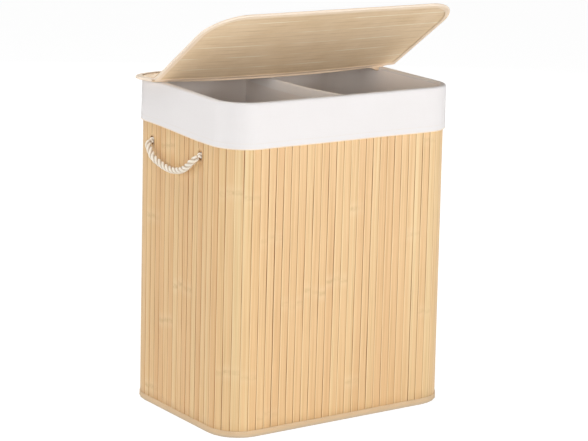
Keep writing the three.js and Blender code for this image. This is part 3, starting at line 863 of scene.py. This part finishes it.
def wallSlatPlaces():
    dice = random.Random(wallTones["seed"])
    inward = hamper["slatThickness"] / 2
    middleHeight = (hamper["wallBottom"] + hamper["wallTop"]) / 2
    edges = rimLoop(hamper["frontSlats"], hamper["sideSlats"])[0]
    kinds = ["front"] * hamper["frontSlats"] + ["end"] * (hamper["sideSlats"] + 2 * hamper["cornerSlats"])
    places, turns, shares, tones = [], [], [], []
    for a, b, kind in zip(edges, np.roll(edges, -1, 0), kinds * 2):
        run = b - a
        length = float(np.linalg.norm(run))
        out = np.array([run[1], -run[0]]) / length
        places.append((*((a + b) / 2 - out * inward), middleHeight))
        turns.append(math.atan2(out[1], out[0]) - math.pi / 2)
        shares.append(length / slatSizes["pitch"])
        tones.append(dice.uniform(*wallTones[kind]))
    low = wallTones["lowestJoint"]
    joints = caneJoints(len(places), dice, low, low + bambooLook["nodeSpacing"])
    return placesMesh("wall_places", places, {
        "turn": turns, "pitchShare": shares, "slatTone": tones, **joints})


def cutHoles(piece, radius):
    # the four round holes that the ropes go through
    body = bmesh.new()
    for x in (-hamper["width"] / 2, hamper["width"] / 2):
        for y in holeY:
            turned = Matrix.Translation((x, y, handle["z"])) @ Matrix.Rotation(math.pi / 2, 4, "Y")
            bmesh.ops.create_cone(body, cap_ends=True, segments=slatSizes["holeSides"], radius1=radius,
                                  radius2=radius, depth=slatSizes["holeDepth"], matrix=turned)
    mesh = bpy.data.meshes.new("drills")
    body.to_mesh(mesh)
    body.free()
    mesh.materials.append(finish["backing"])
    drills = bpy.data.objects.new("drills", mesh)
    bpy.context.scene.collection.objects.link(drills)
    cut = piece.modifiers.new("holes", "BOOLEAN")
    cut.operation = "DIFFERENCE"
    cut.solver = "EXACT"
    cut.material_mode = "TRANSFER"
    cut.object = drills
    bakeTree(piece)
    bpy.data.objects.remove(drills)


curtain = runTree("bamboo_curtain", wallSlatPlaces(), slatTree("slat curtain", False), {
    "Slat Width": slatSizes["pitch"] - slatSizes["gap"],
    "Slat Length": hamper["wallTop"] - hamper["wallBottom"],
    "Slat Thickness": hamper["slatThickness"],
    "Edge Round": slatSizes["edgeRound"],
    "Width Spread": slatSizes["gapSpread"] / slatSizes["pitch"],
    "Bend": slatSizes["bend"],
    "Rows": 21,
    "Seed": 5,
    "Material": finish["wallBamboo"],
})
movePoints(curtain, flareOut(pointPositions(curtain)))
cutHoles(curtain, slatSizes["holeRadius"])
dress(curtain, "hamper", "bamboo", "bamboo_wall")
print("stage: bamboo curtain made,", len(curtain.data.polygons), "faces")


# Cloth behind the slats and the tapes on their edges
backing = {"offset": -0.0026, "thickness": 0.0006, "rows": 12}
bottomTape = {
    "top": 0.013,
    "topOffset": 0.0003,
    "outside": 0.0010,
    "inside": -0.0090,
    "under": 0.0004,
    "turn": 0.0026,
    "ease": 0.0004,
    "puff": (0.02, 0.00025),  # size and depth of the outside's swells
    "wave": (0.05, 0.0006),  # and of the upper edge's waves
}
bottomHoop = {"inset": 0.0058, "height": 0.0036, "radius": 0.0025}
topTape = {
    "low": 0.6083,
    "top": 0.6296,
    "outside": 0.0007,
    "inside": -0.0090,
    "outerTurn": 0.0012,
    "innerTurn": 0.0028,
    "outerEnd": 0.0008,  # below the top, where the straight sides end
    "innerEnd": 0.0036,
}
seam = {"halfWidth": 0.02, "low": 0.0136, "high": 0.6051, "inset": 0.0037}


def backingCloth():
    places, normals = rimLoop(hamper["frontSlats"], hamper["sideSlats"])
    ends = [(backing["offset"], hamper[end]) for end in ("wallBottom", "wallTop")]
    rows = flareOut(loopRows(places, normals, lineSteps(*ends, backing["rows"])))
    piece = addSheet("wall_backing", rows, backing["thickness"], finish["backing"], closed=True)
    cutHoles(piece, slatSizes["clothHole"])
    dressSheet(piece, "stretched", curtain.name, "hamper", "binding_tape")


def bottomBinding():
    # folded round the slats' lower ends and the hoop, and what the hamper stands on
    top, turn, under = bottomTape["top"], bottomTape["turn"], bottomTape["under"]
    outer, inner = bottomTape["outside"] - turn, bottomTape["inside"] + turn
    level, ease = under + turn, bottomTape["ease"]
    profile = (
        lineSteps((bottomTape["topOffset"], top), (bottomTape["outside"], level + ease), 7)[:-1]
        + arcPoints((outer, level), turn, 0, -90, 5)
        + lineSteps((outer - ease, under), (inner + ease, under), 3)[1:]
        + arcPoints((inner, level), turn, -90, -180, 5)[1:]
        + lineSteps((bottomTape["inside"], level + ease), (bottomTape["inside"], top), 5)[1:]
    )

    def creased(row, place, normal):
        offset, height = profile[row]
        push = ripple(*place, height * 3, *bottomTape["puff"]) if offset > 0 else 0
        return push, ripple(*place, 4, *bottomTape["wave"]) * min(1, height / top)

    rows = flareOut(loopRows(*rimLoop(60, 36), profile, creased))[::-1]
    piece = addSheet("bottom_tape", rows, tapeThickness, finish["footTape"], closed=True)
    dressSheet(piece, "folded", curtain.name, "hamper", "binding_tape", "bottom_binding")


def bottomRing():
    # the hoop in the folded tape
    rows = flareOut(loopRows(*rimLoop(44, 26, 14), [(-bottomHoop["inset"], bottomHoop["height"])]))
    piece = addTube("bottom_hoop", rows[0], bottomHoop["radius"], finish["wire"], closed=True)
    dress(piece, "hamper", "steel_wire", "bottom_wire_ring")


def topBinding():
    low, top, outside, inside = (topTape[k] for k in ("low", "top", "outside", "inside"))
    outerTurn, innerTurn = topTape["outerTurn"], topTape["innerTurn"]
    outer, inner = outside - outerTurn, inside + innerTurn
    profile = (
        lineSteps((outside, low), (outside, top - topTape["outerEnd"]), 5)[:-1]
        + arcPoints((outer, top - outerTurn), outerTurn, 0, 90, 3)
        + lineSteps((outer - outside, top), (inner, top), 3)[1:]
        + arcPoints((inner, top - innerTurn), innerTurn, 90, 180, 5)[1:]
        + lineSteps((inside, top - topTape["innerEnd"]), (inside, low), 5)[1:]
    )
    rows = loopRows(*rimLoop(60, 36), profile)
    piece = addSheet("top_tape", rows, tapeThickness, finish["tape"], closed=True)
    dressSheet(piece, "folded", curtain.name, "hamper", "binding_tape", "top_binding")


def seamTape():
    y = hamper["depth"] / 2 - seam["inset"]
    columns = np.linspace(-seam["halfWidth"], seam["halfWidth"], 9)
    rows = [[(x, y, z) for x in columns] for z in np.linspace(seam["low"], seam["high"], 60)]
    piece = addSheet("seam_tape", rows, tapeThickness, finish["tape"])
    dressSheet(piece, "stretched", "wall_backing", "hamper", "binding_tape", "wall_seam_tape")


backingCloth()
bottomBinding()
bottomRing()
topBinding()
seamTape()
print("stage: backing and tapes made")


# Liner: one cloth from the floor up the inside, over the rim and down outside as the cuff
liner = {
    "thickness": 0.0012,
    "inside": -0.0106,  # middle of the cloth inside the wall
    "outside": 0.0021,
    "rows": ((0.0056, 0.46, 24), (0.4705, 0.5755, 22), (0.585, 0.6265, 6)),  # closer round the knots
    "innerTurn": 0.0042,
    "outerTurn": 0.0040,
    "crownHalf": 0.0006,
    "cuffTop": 0.6275,
    "cuffBottom": 0.548,
    "cuffRows": 16,
    "cuffRun": 0.25,  # towards the back the cuff's lower edge rises over this length
    "cuffRise": 0.0085,
    "knotBulge": 0.0145,
    "knotReach": 0.032,
    "foldDepth": 0.00288,
    "foldSize": 0.055,
    "foldFrom": 0.05,  # smaller swells of the noise leave the cloth straight
    "foldFade": (0.622, 0.542),  # below the rim the folds begin and are full
    "liftFade": (0.5, 0.62),  # the bag's top follows the risen rim between these heights
    "cuffFlare": 0.0006,
    "cuffWave": (0.07, 0.0006),  # size and depth
    "hemWave": (0.12, 0.0008),
    "standOff": {"place": (-0.25, 0.13), "spread": 0.0018, "depth": 0.0008},  # at the rear left corner
    "crease": {"x": 0.003, "width": 0.0016, "depth": 0.0005},  # down the cuff's front
    "whiteFrom": 0.0006,  # inside the slats' face
    "piping": 0.0011,
    "pipingDrop": 0.0004,
}


def outsideWall(spot):
    # whether a place is outside the slats' face
    dx = abs(spot.x) - (hamper["width"] / 2 - hamper["corner"])
    dy = abs(spot.y) - (hamper["depth"] / 2 - hamper["corner"])
    return math.hypot(max(0.0, dx), max(0.0, dy)) > hamper["corner"] - liner["whiteFrom"]


def linerCloth():
    crown = hamper["rim"] - liner["crownHalf"]
    inside, outside, high, low = (liner[k] for k in ("inside", "outside", "cuffTop", "cuffBottom"))
    inTurn, outTurn, count = liner["innerTurn"], liner["outerTurn"], liner["cuffRows"]
    inner = [(inside, z) for run in liner["rows"] for z in np.linspace(*run)]
    overRim = arcPoints((inside + inTurn, crown - 0.0002 - inTurn), inTurn, 180, 90, 6)[:-1]
    overRim += lineSteps((inside + inTurn, crown - 0.0001), (outside - outTurn, crown - 0.0001), 3)
    overRim += arcPoints((outside - outTurn, crown - 0.0002 - outTurn), outTurn, 90, 0, 6)[1:]
    downs = [i / count for i in range(1, count + 1)]
    cuff = [(outside + liner["cuffFlare"] * down ** 2, high - (high - low) * down) for down in downs]
    profile = inner + overRim + cuff

    def shape(row, place, normal):
        x, y = place
        height, rise = profile[row][1], rimRise(x, y)
        if row < len(inner):
            # soft folds, and bulges over the knots
            hang = ramp(height, *liner["foldFade"]) * min(1.0, height / 0.05)
            fold = max(0.0, ripple(x, y, height * 0.35, liner["foldSize"], 1.0) - liner["foldFrom"])
            push = -liner["foldDepth"] * hang * fold
            away = min(math.hypot(y - hole, height - handle["z"]) for hole in holeY)
            if abs(normal[0]) > 0.999 and away < liner["knotReach"]:
                push -= liner["knotBulge"] * (1 + math.cos(math.pi * away / liner["knotReach"])) / 2
            return push, rise * ramp(height, *liner["liftFade"])
        if row < len(inner) + len(overRim):
            return 0.0, rise
        down = (high - height) / (high - low)
        back = ramp(y, hamper["riseFrom"], hamper["riseFrom"] + liner["cuffRun"])
        lowRise = liner["cuffRise"] * back * back * (3 - 2 * back)
        off, crease = liner["standOff"], liner["crease"]
        away = (x - off["place"][0]) ** 2 + (y - off["place"][1]) ** 2
        push = down * (0.0002 + ripple(x, y, height * 0.8, *liner["cuffWave"]))
        push += down * off["depth"] * math.exp(-away / off["spread"])
        push += crease["depth"] * math.exp(-((x - crease["x"]) / crease["width"]) ** 2) * (y < 0)
        return push, rise + down * (ripple(x, y, 3.0, *liner["hemWave"]) + lowRise - rise)

    grid = loopRows(*rimLoop(56, 34, 16), profile, shape)[::-1]
    piece = addSheet("liner_cloth", grid, liner["thickness"], finish["linerInside"], closed=True)
    piece.data.materials.append(finish["cotton"])
    # the cuff and the rim take the plain white cotton; the bag's inside, like the divider and the floor,
    # takes a lighter copy of it, painted light that makes up for the shade under the lid
    for face in piece.data.polygons:
        face.material_index = int(face.center.z > high or outsideWall(face.center))
    dressSheet(piece, "hung", "top_tape", "hamper", "liner_cotton", "liner_cuff", "liner_bag_wall")
    # narrow rolled edge along the cuff's lower end
    line = grid[0] - np.array([0, 0, liner["pipingDrop"]])
    edge = addTube("cuff_piping", line, liner["piping"], finish["piping"], closed=True)
    dress(edge, "hamper", "binding_tape")
    return grid


divider = {
    "inset": 0.0008,  # between its ends and the liner's middle
    "rows": ((0.0076, 0.58, 40), (0.59, 0.628, 8)),
    "columns": 45,
    "sag": 0.0052,
    "sagFrom": (0.3, 0.63),  # the sag grows from none to full between these heights
    "swing": 0.0035,
    "swingSize": 0.09,
    "thickness": 0.0012,
    "hemLow": 0.6100,
    "hemTop": 0.6276,
    "hemHalf": 0.0019,
    "hemThickness": 0.0009,
}
floorCloth = {"inset": 0.0006, "lift": 0.0008, "wave": 0.0007, "waveSize": 0.05, "thickness": 0.001}
baseTape = {"inset": 0.0098, "z": 0.0004}


def addPlate(name, inset, radius, counts, heightAt, thickness, material, shape=np.array):
    # a cloth with round corners, so far inside the slats' face, and its flat area
    halfW, halfD = hamper["width"] / 2 - inset, hamper["depth"] / 2 - inset
    rows = []
    for y in halfD * np.linspace(-1, 1, counts[0]):
        past = max(0.0, abs(y) - (halfD - radius))
        limit = halfW - radius + math.sqrt(max(0.0, radius ** 2 - past ** 2))
        rows.append([(x, y, heightAt(x, y)) for x in limit * np.linspace(-1, 1, counts[1])])
    piece = addSheet(name, shape(rows), thickness, material)
    return piece, 4 * halfW * halfD - (4 - math.pi) * radius ** 2


def linerFloor():
    def waved(x, y):
        rise = noise.noise(Vector((x, y, 0)) / floorCloth["waveSize"])
        return hamper["floorTop"] + floorCloth["lift"] + floorCloth["wave"] * (1 + rise)

    radius = hamper["corner"] + liner["inside"]
    inset = floorCloth["inset"] - liner["inside"]
    piece, area = addPlate("liner_base", inset, radius, (41, 61), waved, floorCloth["thickness"],
                           finish["linerInside"])
    dressSheet(piece, "laid", "base_board", "hamper", "liner_cotton", "liner_floor", area=area)


def baseCloth():
    radius = hamper["corner"] - baseTape["inset"]
    piece, area = addPlate("base_underside", baseTape["inset"], radius, (31, 41), lambda x, y: baseTape["z"],
                           tapeThickness, finish["tape"], flareOut)
    dressSheet(piece, "stretched", "bottom_tape", "hamper", "binding_tape", "base_cloth", area=area)


def binDivider():
    # a cloth panel sewn in between the front and back of the liner, with a wide hem along its top
    half = hamper["depth"] / 2 + liner["inside"] - divider["inset"]
    columns = np.linspace(-half, half, divider["columns"])
    low, top, thick = divider["hemLow"], divider["hemTop"], divider["hemHalf"]

    def spot(dx, y, z, share):
        # the panel swings a little and sags towards its middle
        swing = (1 - (y / half) ** 4) * ripple(0.3, y, z * 0.4, divider["swingSize"], divider["swing"])
        return swing + dx, y, z - divider["sag"] * (1 - (y / half) ** 2) * share

    heights = [z for run in divider["rows"] for z in np.linspace(*run)]
    rows = [[spot(0, y, z, ramp(z, *divider["sagFrom"])) for y in columns] for z in heights]
    panel = addSheet("divider_panel", rows, divider["thickness"], finish["linerInside"])
    across = lineSteps((thick, low), (thick, top), 6)[:-1] + arcPoints((0, top), thick, 0, 180, 8)
    across += lineSteps((-thick, top), (-thick, low), 6)[1:]
    hemRows = [[spot(dx, y, z, 1) for y in columns] for dx, z in across]
    hem = addSheet("divider_top_hem", np.array(hemRows)[::-1], divider["hemThickness"], finish["hem"])
    dressSheet(hem, "folded", "divider_panel", "hamper", "liner_cotton", "divider_hem")
    dressSheet(panel, "stretched", "liner_cloth", "hamper", "liner_cotton", "bin_divider")


linerGrid = linerCloth()
linerFloor()
binDivider()
baseCloth()
print("stage: liner made")


# Lid: both leaves are drawn flat from the hinge line and then laid in place
leafBody = {"flap": "lid_flap", "rear": "hamper"}


def placeOnLeaf(points, leaf):
    # leaf places are (along the hinge, away from it as -y, up)
    points = np.asarray(points, float)
    flat = points.reshape(-1, 3)
    if leaf == "flap":
        turn = Matrix.Rotation(-math.radians(lid["openAngle"]), 3, "X")
        near = np.clip(1 + flat[:, 1] / lid["flap"], 0, 1)
        aside = lid["aside"] * (lid["square"] + (1 - lid["square"]) * near)
    else:
        turn = Matrix.Rotation(math.pi, 3, "Z")
        near = np.clip(1 + flat[:, 1] / (hamper["depth"] / 2 - lid["hingeY"]), 0, 1)
        aside = lid["aside"]
    world = flat @ np.array(turn).T + np.array([0, lid["hingeY"], lid["hingeZ"]])
    world[:, 2] += hingeRise(world[:, 0]) * near
    world[:, 0] += aside
    return world.reshape(points.shape)


def leafEdge(leaf, cornerSteps=18, sideStep=0.010):
    # places and outward directions along the three bound edges
    length, half, radius, bare = lid[leaf], lid["width"] / 2, lid["corner"], lid["hingeBare"]
    sideLength = length - radius - bare
    steps = max(3, round(sideLength / sideStep))
    across = 2 * (half - radius)
    count = round(across / sideStep)
    spots = [((-half, -bare - sideLength * i / steps), (-1, 0)) for i in range(steps)]
    for corner, middleX in enumerate((-half + radius, half - radius)):
        for i in range(cornerSteps + 1):
            angle = math.radians(180 + 90 * corner + 90 * i / cornerSteps)
            normal = (math.cos(angle), math.sin(angle))
            spots.append(((middleX + radius * normal[0], radius * (normal[1] + 1) - length), normal))
        if corner == 0:
            spots += [((-half + radius + across * i / count, -length), (0, -1)) for i in range(1, count)]
    spots += [((half, -bare - sideLength * i / steps), (1, 0)) for i in range(steps - 1, -1, -1)]
    return np.array([s[0] for s in spots]), np.array([s[1] for s in spots])


lidTree = slatTree("lid slats", True)
lidSlats = {"pitch": 0.0155, "toneRange": (0.1, 0.9), "seed": 23, "gap": 0.0009, "bendShare": 0.6}
leafCloth = {"level": -0.0004, "wave": 0.0002, "start": 0.0006, "rowStep": 0.006, "cornerRows": 16}
edgeTape = {
    "inner": -0.0105,  # where the tape's two edges end, measured in from the leaf's edge
    "outer": -0.013,
    "fold": 0.0002,  # the round fold's middle lies so far in
    "wrinkle": (0.012, 0.00016),  # size and depth
    "wrinkleFrom": -0.003,
    "shut": 0.0006,  # the ends at the hinge are pressed shut so far on
    "bandRows": 6,
    "wireInset": 0.0024,
    "wireRadius": 0.0012,
    "stitchInset": 0.0112,
}


def leafSlats(leaf):
    length, inset = lid[leaf], lid["inset"]
    dice = random.Random(lidSlats["seed"] + len(leaf))
    run = length - inset - lid["hingeBare"]
    count = round(run / lidSlats["pitch"])
    pitch = run / count
    spots = [(lid["hingeBare"] + pitch * (i + 0.5), hamper["slatThickness"] / 2, 0) for i in range(count)]
    tones = [dice.uniform(*lidSlats["toneRange"]) for _ in range(count)]
    mesh = placesMesh(leaf + "_places", spots, {
        "turn": [0.0] * count, "pitchShare": [1.0] * count, "slatTone": tones,
        **caneJoints(count, dice, -0.25, 0.05)})
    piece = runTree(f"lid_{leaf}_strips", mesh, lidTree, {
        "Slat Width": pitch - lidSlats["gap"],
        "Slat Length": lid["width"] - 2 * inset,
        "Slat Thickness": hamper["slatThickness"],
        "Edge Round": slatSizes["edgeRound"],
        "Width Spread": slatSizes["gapSpread"] / pitch,
        "Bend": slatSizes["bend"] * lidSlats["bendShare"],
        "Rows": 31,
        "Seed": 3 + len(leaf),
        "Material": finish["lidBamboo"],
        "Half Width": lid["width"] / 2 - inset,
        "Corner Radius": lid["corner"] - inset,
        "Leaf Length": length - inset,
    })
    at = pointPositions(piece)
    movePoints(piece, placeOnLeaf(np.column_stack([-at[:, 2], -at[:, 0], at[:, 1]]), leaf))
    dress(piece, leafBody[leaf], "lid_bamboo", f"lid_{leaf}_slats")


def leafLining(leaf):
    inset, turns = lid["inset"], leafCloth["cornerRows"]
    length, radius, half = lid[leaf] - inset, lid["corner"] - inset, lid["width"] / 2 - inset
    straight = length - radius
    stops = list(np.linspace(leafCloth["start"], straight, round(straight / leafCloth["rowStep"]) + 1))
    stops += [straight + radius * math.sin(math.radians(90 * i / turns)) for i in range(1, turns + 1)]
    rows = []
    for away in stops:
        limit = half - radius + math.sqrt(max(0.0, radius ** 2 - max(0.0, away - straight) ** 2))
        rows.append([(x, -away, leafCloth["level"] + ripple(x, away * 3, 1.5, 0.06, leafCloth["wave"]))
                     for x in limit * np.linspace(-1, 1, 81)])
    rows = np.array(rows)[::-1]
    piece = addSheet(f"lid_{leaf}_lining", placeOnLeaf(rows, leaf), tapeThickness, finish["lining"])
    # the weave's own directions: along the hinge, and away from it
    flat = rows.reshape(-1, 3)
    uv = [(x, -y) for x, y, z in (flat[loop.vertex_index % len(flat)] for loop in piece.data.loops)]
    piece.data.uv_layers["weave"].data.foreach_set("uv", np.array(uv, np.float32).ravel())
    dressSheet(piece, "stretched", f"lid_{leaf}_strips", leafBody[leaf], "lid_bamboo",
               area=2 * half * length - (2 - math.pi / 2) * radius ** 2)


def leafBinding(leaf):
    places, normals = leafEdge(leaf)
    skin = tapeThickness / 2
    low, high = lid["under"] + skin, lid["top"] - skin
    middle, half = (low + high) / 2, (high - low) / 2
    fold = -half - edgeTape["fold"]
    profile = (
        lineSteps((edgeTape["inner"], low), (fold, low), 6)[:-1]
        + arcPoints((fold, middle), half, -90, 90, 8)
        + lineSteps((fold, high), (edgeTape["outer"], high), 6)[1:]
    )
    rows = []
    for offset, height in profile:
        flat = places + normals * offset
        wrinkled = offset < edgeTape["wrinkleFrom"]
        wrinkles = [ripple(*p, height * 30, *edgeTape["wrinkle"]) * wrinkled for p in flat]
        row = np.column_stack([flat, height + np.array(wrinkles)])
        ends = [(row[i][0], row[i][1] + edgeTape["shut"], middle) for i in (0, -1)]
        rows.append(np.vstack([ends[:1], row, ends[1:]]))
    # the tape takes the paler cream piping cloth, a painted highlight on the lid's rolled edge
    piece = addSheet(f"lid_{leaf}_tape", placeOnLeaf(rows, leaf), tapeThickness, finish["piping"])
    # the inner turn is the lining's own cloth in a paler copy, a painted highlight where the rolled edge
    # catches the light
    piece.data.materials.append(finish["edgeBand"])
    width = len(places) + 2
    for face in piece.data.polygons:
        row = min(corner % (len(profile) * width) // width for corner in face.vertices)
        face.material_index = int(row < edgeTape["bandRows"])
    dressSheet(piece, "folded", f"lid_{leaf}_strips", leafBody[leaf], "binding_tape", f"lid_{leaf}_binding")


def leafWire(leaf):
    # the spring wire in the folded edge
    rows = loopRows(*leafEdge(leaf), [(-edgeTape["wireInset"], (lid["top"] + lid["under"]) / 2)])
    line = placeOnLeaf(rows[0], leaf)
    piece = addTube(f"lid_{leaf}_spring_wire", line, edgeTape["wireRadius"], finish["wire"])
    dress(piece, leafBody[leaf], "steel_wire", f"lid_{leaf}_wire")


for leaf in ("rear", "flap"):
    leafSlats(leaf)
    leafLining(leaf)
    leafBinding(leaf)
    leafWire(leaf)
print("stage: lid leaves made")


# Cloth that crosses the hinge: a tape below and a groove above, both bent round the hinge line to the flap's
# open angle
hingeCloths = {
    "hinge_under_tape": {
        "reach": 0.009, "level": -0.0013, "bulge": 0.0022, "bulgeEnd": 0.245, "thickness": 0.0008,
        "short": 0.0015, "finish": "hingeTape"},
    "hinge_top_cloth": {
        "reach": 0.0062, "level": 0.0004, "bulge": 0.0, "bulgeEnd": 0.245, "thickness": 0.0006,
        "short": 0.0135, "finish": "backing"},
}
pucker = {"x": 0.238, "width": 0.011, "depth": 0.0085}  # a loose fold of the under tape at its right end


def hingeCloth(name, look):
    angle, level, reach = math.radians(lid["openAngle"]), look["level"], look["reach"]
    under = level < 0
    half = lid["width"] / 2 - look["short"]
    columns = np.linspace(-half, half, 91)
    steps, ends = 8, 6  # rows round the hinge line and on each leaf
    aways = [reach * (i + 1) / ends for i in range(ends)]
    rows = [placeOnLeaf([(-x, -away, level) for x in columns], "rear") for away in aways[::-1]]
    size = abs(level) + look["bulge"] * np.maximum(0.0, 1 - (columns / look["bulgeEnd"]) ** 4)
    if under:
        size = -size - pucker["depth"] * np.exp(-((columns - pucker["x"]) / pucker["width"]) ** 2)
    for turn in (angle * i / steps for i in range(1, steps)):
        rows.append(np.column_stack([
            columns + lid["aside"], lid["hingeY"] + size * math.sin(turn),
            lid["hingeZ"] + size * math.cos(turn) + hingeRise(columns)]))
    rows += [placeOnLeaf([(x, -away, level) for x in columns], "flap") for away in aways]
    grid = np.array(rows)
    piece = addSheet(name, grid[::-1] if under else grid, look["thickness"], finish[look["finish"]])
    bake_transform(piece)


for clothName, look in hingeCloths.items():
    hingeCloth(clothName, look)
print("stage: hinge cloth made")

tab = {
    "x": 0.15,
    "y": 0.18485,
    "halfWidth": 0.0225,
    "low": 0.5742,
    "high": 0.6312,
    "curl": 0.0008,  # the lower end stands off a little
    "curlFrom": 0.585,
    "curlRun": 0.011,
    "wave": (0.02, 0.0001),  # size and depth
    "rows": 24,
    "columns": 13,
    "thickness": 0.001,
}


def lidTab(sideName, middle):
    rows = []
    for z in np.linspace(tab["low"], tab["high"] + rimRise(middle, tab["y"]), tab["rows"]):
        y = tab["y"] + tab["curl"] * max(0.0, (tab["curlFrom"] - z) / tab["curlRun"]) ** 2
        rows.append([(middle + tab["halfWidth"] * u, y + ripple(middle + u * 0.02, 0, z, *tab["wave"]), z)
                     for u in np.linspace(1, -1, tab["columns"])])
    piece = addSheet(f"lid_tab_{sideName}_cloth", rows, tab["thickness"], finish["tape"])
    dressSheet(piece, "hung", "lid_rear_tape", "hamper", "binding_tape", f"lid_tab_{sideName}")


lidTab("left", -tab["x"])
lidTab("right", tab["x"])
print("stage: tabs made")


# Stitches: a node tree sets short rounded threads along a line
stitch = {
    "length": 0.0030,
    "pitch": 0.0042,
    "thread": 0.0005,
    "bottomHeight": 0.0108,
    "bottomOut": 0.0012,
    "proud": 0.00005,
    "hemRow": 2,  # the liner's row that the cuff's stitches follow
}


def stitchTree():
    sizes = ("Stitch Length", "Stitch Pitch", "Thread Width")
    tree, add, given = startTree("stitch run", {**dict.fromkeys(sizes, "Float"), "Material": "Material"})
    line = add("GeometryNodeMeshToCurve", {"Mesh": given["Geometry"]})
    spots = add("GeometryNodeResampleCurve", {"Curve": line, "Length": given["Stitch Pitch"]}, mode="LENGTH")
    thread, tangent = given["Thread Width"], add("GeometryNodeInputTangent")
    placed = add("GeometryNodeInstanceOnPoints", {
        "Points": spots,
        "Instance": add("GeometryNodeMeshUVSphere", {"Segments": 6, "Rings": 4, "Radius": 0.5}),
        "Rotation": add("FunctionNodeAlignRotationToVector", {"Vector": tangent}, axis="X"),
        "Scale": add("CombineXYZ", given["Stitch Length"], thread, thread)})
    real = add("GeometryNodeRealizeInstances", {"Geometry": placed})
    smooth = add("GeometryNodeSetShadeSmooth", {"Geometry": real, "Shade Smooth": True})
    painted = add("GeometryNodeSetMaterial", {"Geometry": smooth, "Material": given["Material"]})
    add("NodeGroupOutput", painted)
    return tree


def threadMaterial(name, hexColour):
    # Spun polyester sewing thread: matt, twisted, with fine pale and dark spots.
    material, add = startMaterial(name)
    twist = add("TexNoise", {"Vector": add("TexCoord").outputs["Object"], "Scale": 1800.0, "Detail": 2.0})
    colour = add("Mix", {0: twist, 6: hexColour, 7: "#CDB793"}, data_type="RGBA")
    return endMaterial(material, add, {"Base Color": colour, "Roughness": 0.75})


creamThread = threadMaterial("cream_thread", "#F1E2C6")
whiteThread = threadMaterial("white_thread", "#F4F1EC")
runStitches = stitchTree()


def addStitches(name, lines, closed, material, body, leaf=None):
    points, edges = [], []
    for line in lines:
        first, count = len(points), len(line)
        points += [tuple(p) for p in line]
        edges += [(first + i, first + (i + 1) % count) for i in range(count if closed else count - 1)]
    mesh = bpy.data.meshes.new(name)
    mesh.from_pydata(points, edges, [])
    piece = runTree(name, mesh, runStitches, {
        "Stitch Length": stitch["length"], "Stitch Pitch": stitch["pitch"], "Thread Width": stitch["thread"],
        "Material": material})
    if leaf:
        movePoints(piece, placeOnLeaf(pointPositions(piece), leaf))
    dress(piece, body, "binding_tape")


low = loopRows(*rimLoop(30, 20), [(stitch["bottomOut"], stitch["bottomHeight"])])
addStitches("bottom_tape_stitches", flareOut(low), True, creamThread, "hamper")
hemLine = linerGrid[stitch["hemRow"]]
outward = unit(np.cross(np.roll(hemLine, -1, 0) - np.roll(hemLine, 1, 0), (0, 0, 1)))
addStitches("cuff_hem_stitches", [hemLine + outward * liner["thickness"] / 2], True, whiteThread, "hamper")
for leaf in ("rear", "flap"):
    heights = (lid["top"] + stitch["proud"], lid["under"] - stitch["proud"])
    lines = loopRows(*leafEdge(leaf), [(-edgeTape["stitchInset"], height) for height in heights])
    addStitches(f"lid_{leaf}_stitches", lines, False, creamThread, leafBody[leaf], leaf)
print("stage: stitches made")

# Frame pieces whose shape is right keep it, and get their finish
for node, kind in (("top_wire_ring", "wire"), ("base_board", "hardboard")):
    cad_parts[node].data.materials.clear()
    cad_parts[node].data.materials.append(finish[kind])


# Floor and light
studio = {
    "world": 0.13,
    "glow": 1.25,  # of the paper as the camera sees it
    "glowShare": 0.75,
    "floorHalf": 6.0,
    "floorZ": -0.0006,
    "aim": (0, 0, 0.35),
}
softboxes = {
    "camera": {"place": (-1.75, -3.75, 1.00), "size": 1.8, "power": 47},
    "left": {"place": (-3.8, -1.8, 1.3), "size": 1.6, "power": 46},
    "right": {"place": (2.4, -3.5, 0.95), "size": 1.8, "power": 90},
    "back": {"place": (2.0, 3.6, 1.1), "size": 1.8, "power": 26},
    "rear": {"place": (-3.3, 1.9, 1.7), "size": 0.7, "power": 28},
    "top": {"place": (-0.9, 0.7, 3.3), "size": 2.0, "power": 46},
}


def addLight(name, look):
    data = bpy.data.lights.new(name, "AREA")
    data.shape = "DISK"
    data.size = look["size"]
    data.energy = look["power"]
    light = bpy.data.objects.new(name, data)
    aim = Vector(studio["aim"]) - Vector(look["place"])
    turned = aim.to_track_quat("-Z", "Y").to_matrix().to_4x4()
    light.matrix_world = Matrix.Translation(Vector(look["place"])) @ turned
    bpy.context.scene.collection.objects.link(light)


def seenDirectly(add):
    # 1 where the camera, a gloss or a glass sees the surface, 0 where it only lights the object
    rays = add("LightPath").outputs
    both = add("Math", rays["Is Camera Ray"], rays["Is Glossy Ray"], operation="MAXIMUM")
    return add("Math", both, rays["Is Transmission Ray"], operation="MAXIMUM")


def addFloor():
    # Seamless white paper sweep, matt
    material, add = startMaterial("paper_sweep")
    tooth = add("TexNoise", {"Vector": add("TexCoord").outputs["Object"], "Scale": 300.0, "Detail": 2.0})
    shader = add("BsdfPrincipled", {
        "Base Color": add("ValToRGB", tooth, stops=[(0.0, "#EFEFEE"), (1.0, "#F4F4F3")]),
        "Roughness": 0.95,
        "Specular IOR Level": 0.1,
    })
    share = add("Math", seenDirectly(add), studio["glowShare"], operation="MULTIPLY")
    add("OutputMaterial", add("MixShader", share, shader, add("Emission", (1, 1, 1, 1), studio["glow"])))
    half, z = studio["floorHalf"], studio["floorZ"]
    corners = [(-half, -half, z), (half, -half, z), (half, half, z), (-half, half, z)]
    addMesh("floor", corners, [(0, 1, 2, 3)], material)


def setWorld():
    world = bpy.data.worlds.new("studio")
    world.use_nodes = True
    world.node_tree.nodes.clear()
    add = partial(addNode, world.node_tree)
    lighting = add("Background", (1, 1, 1, 1), studio["world"])
    add("OutputWorld", add("MixShader", seenDirectly(add), lighting, add("Background", (1, 1, 1, 1), 1.0)))
    bpy.context.scene.world = world


addFloor()
setWorld()
for lightName, look in softboxes.items():
    addLight(lightName + "_softbox", look)
bpy.context.scene.view_settings.view_transform = "Standard"
print("stage: floor and light made")
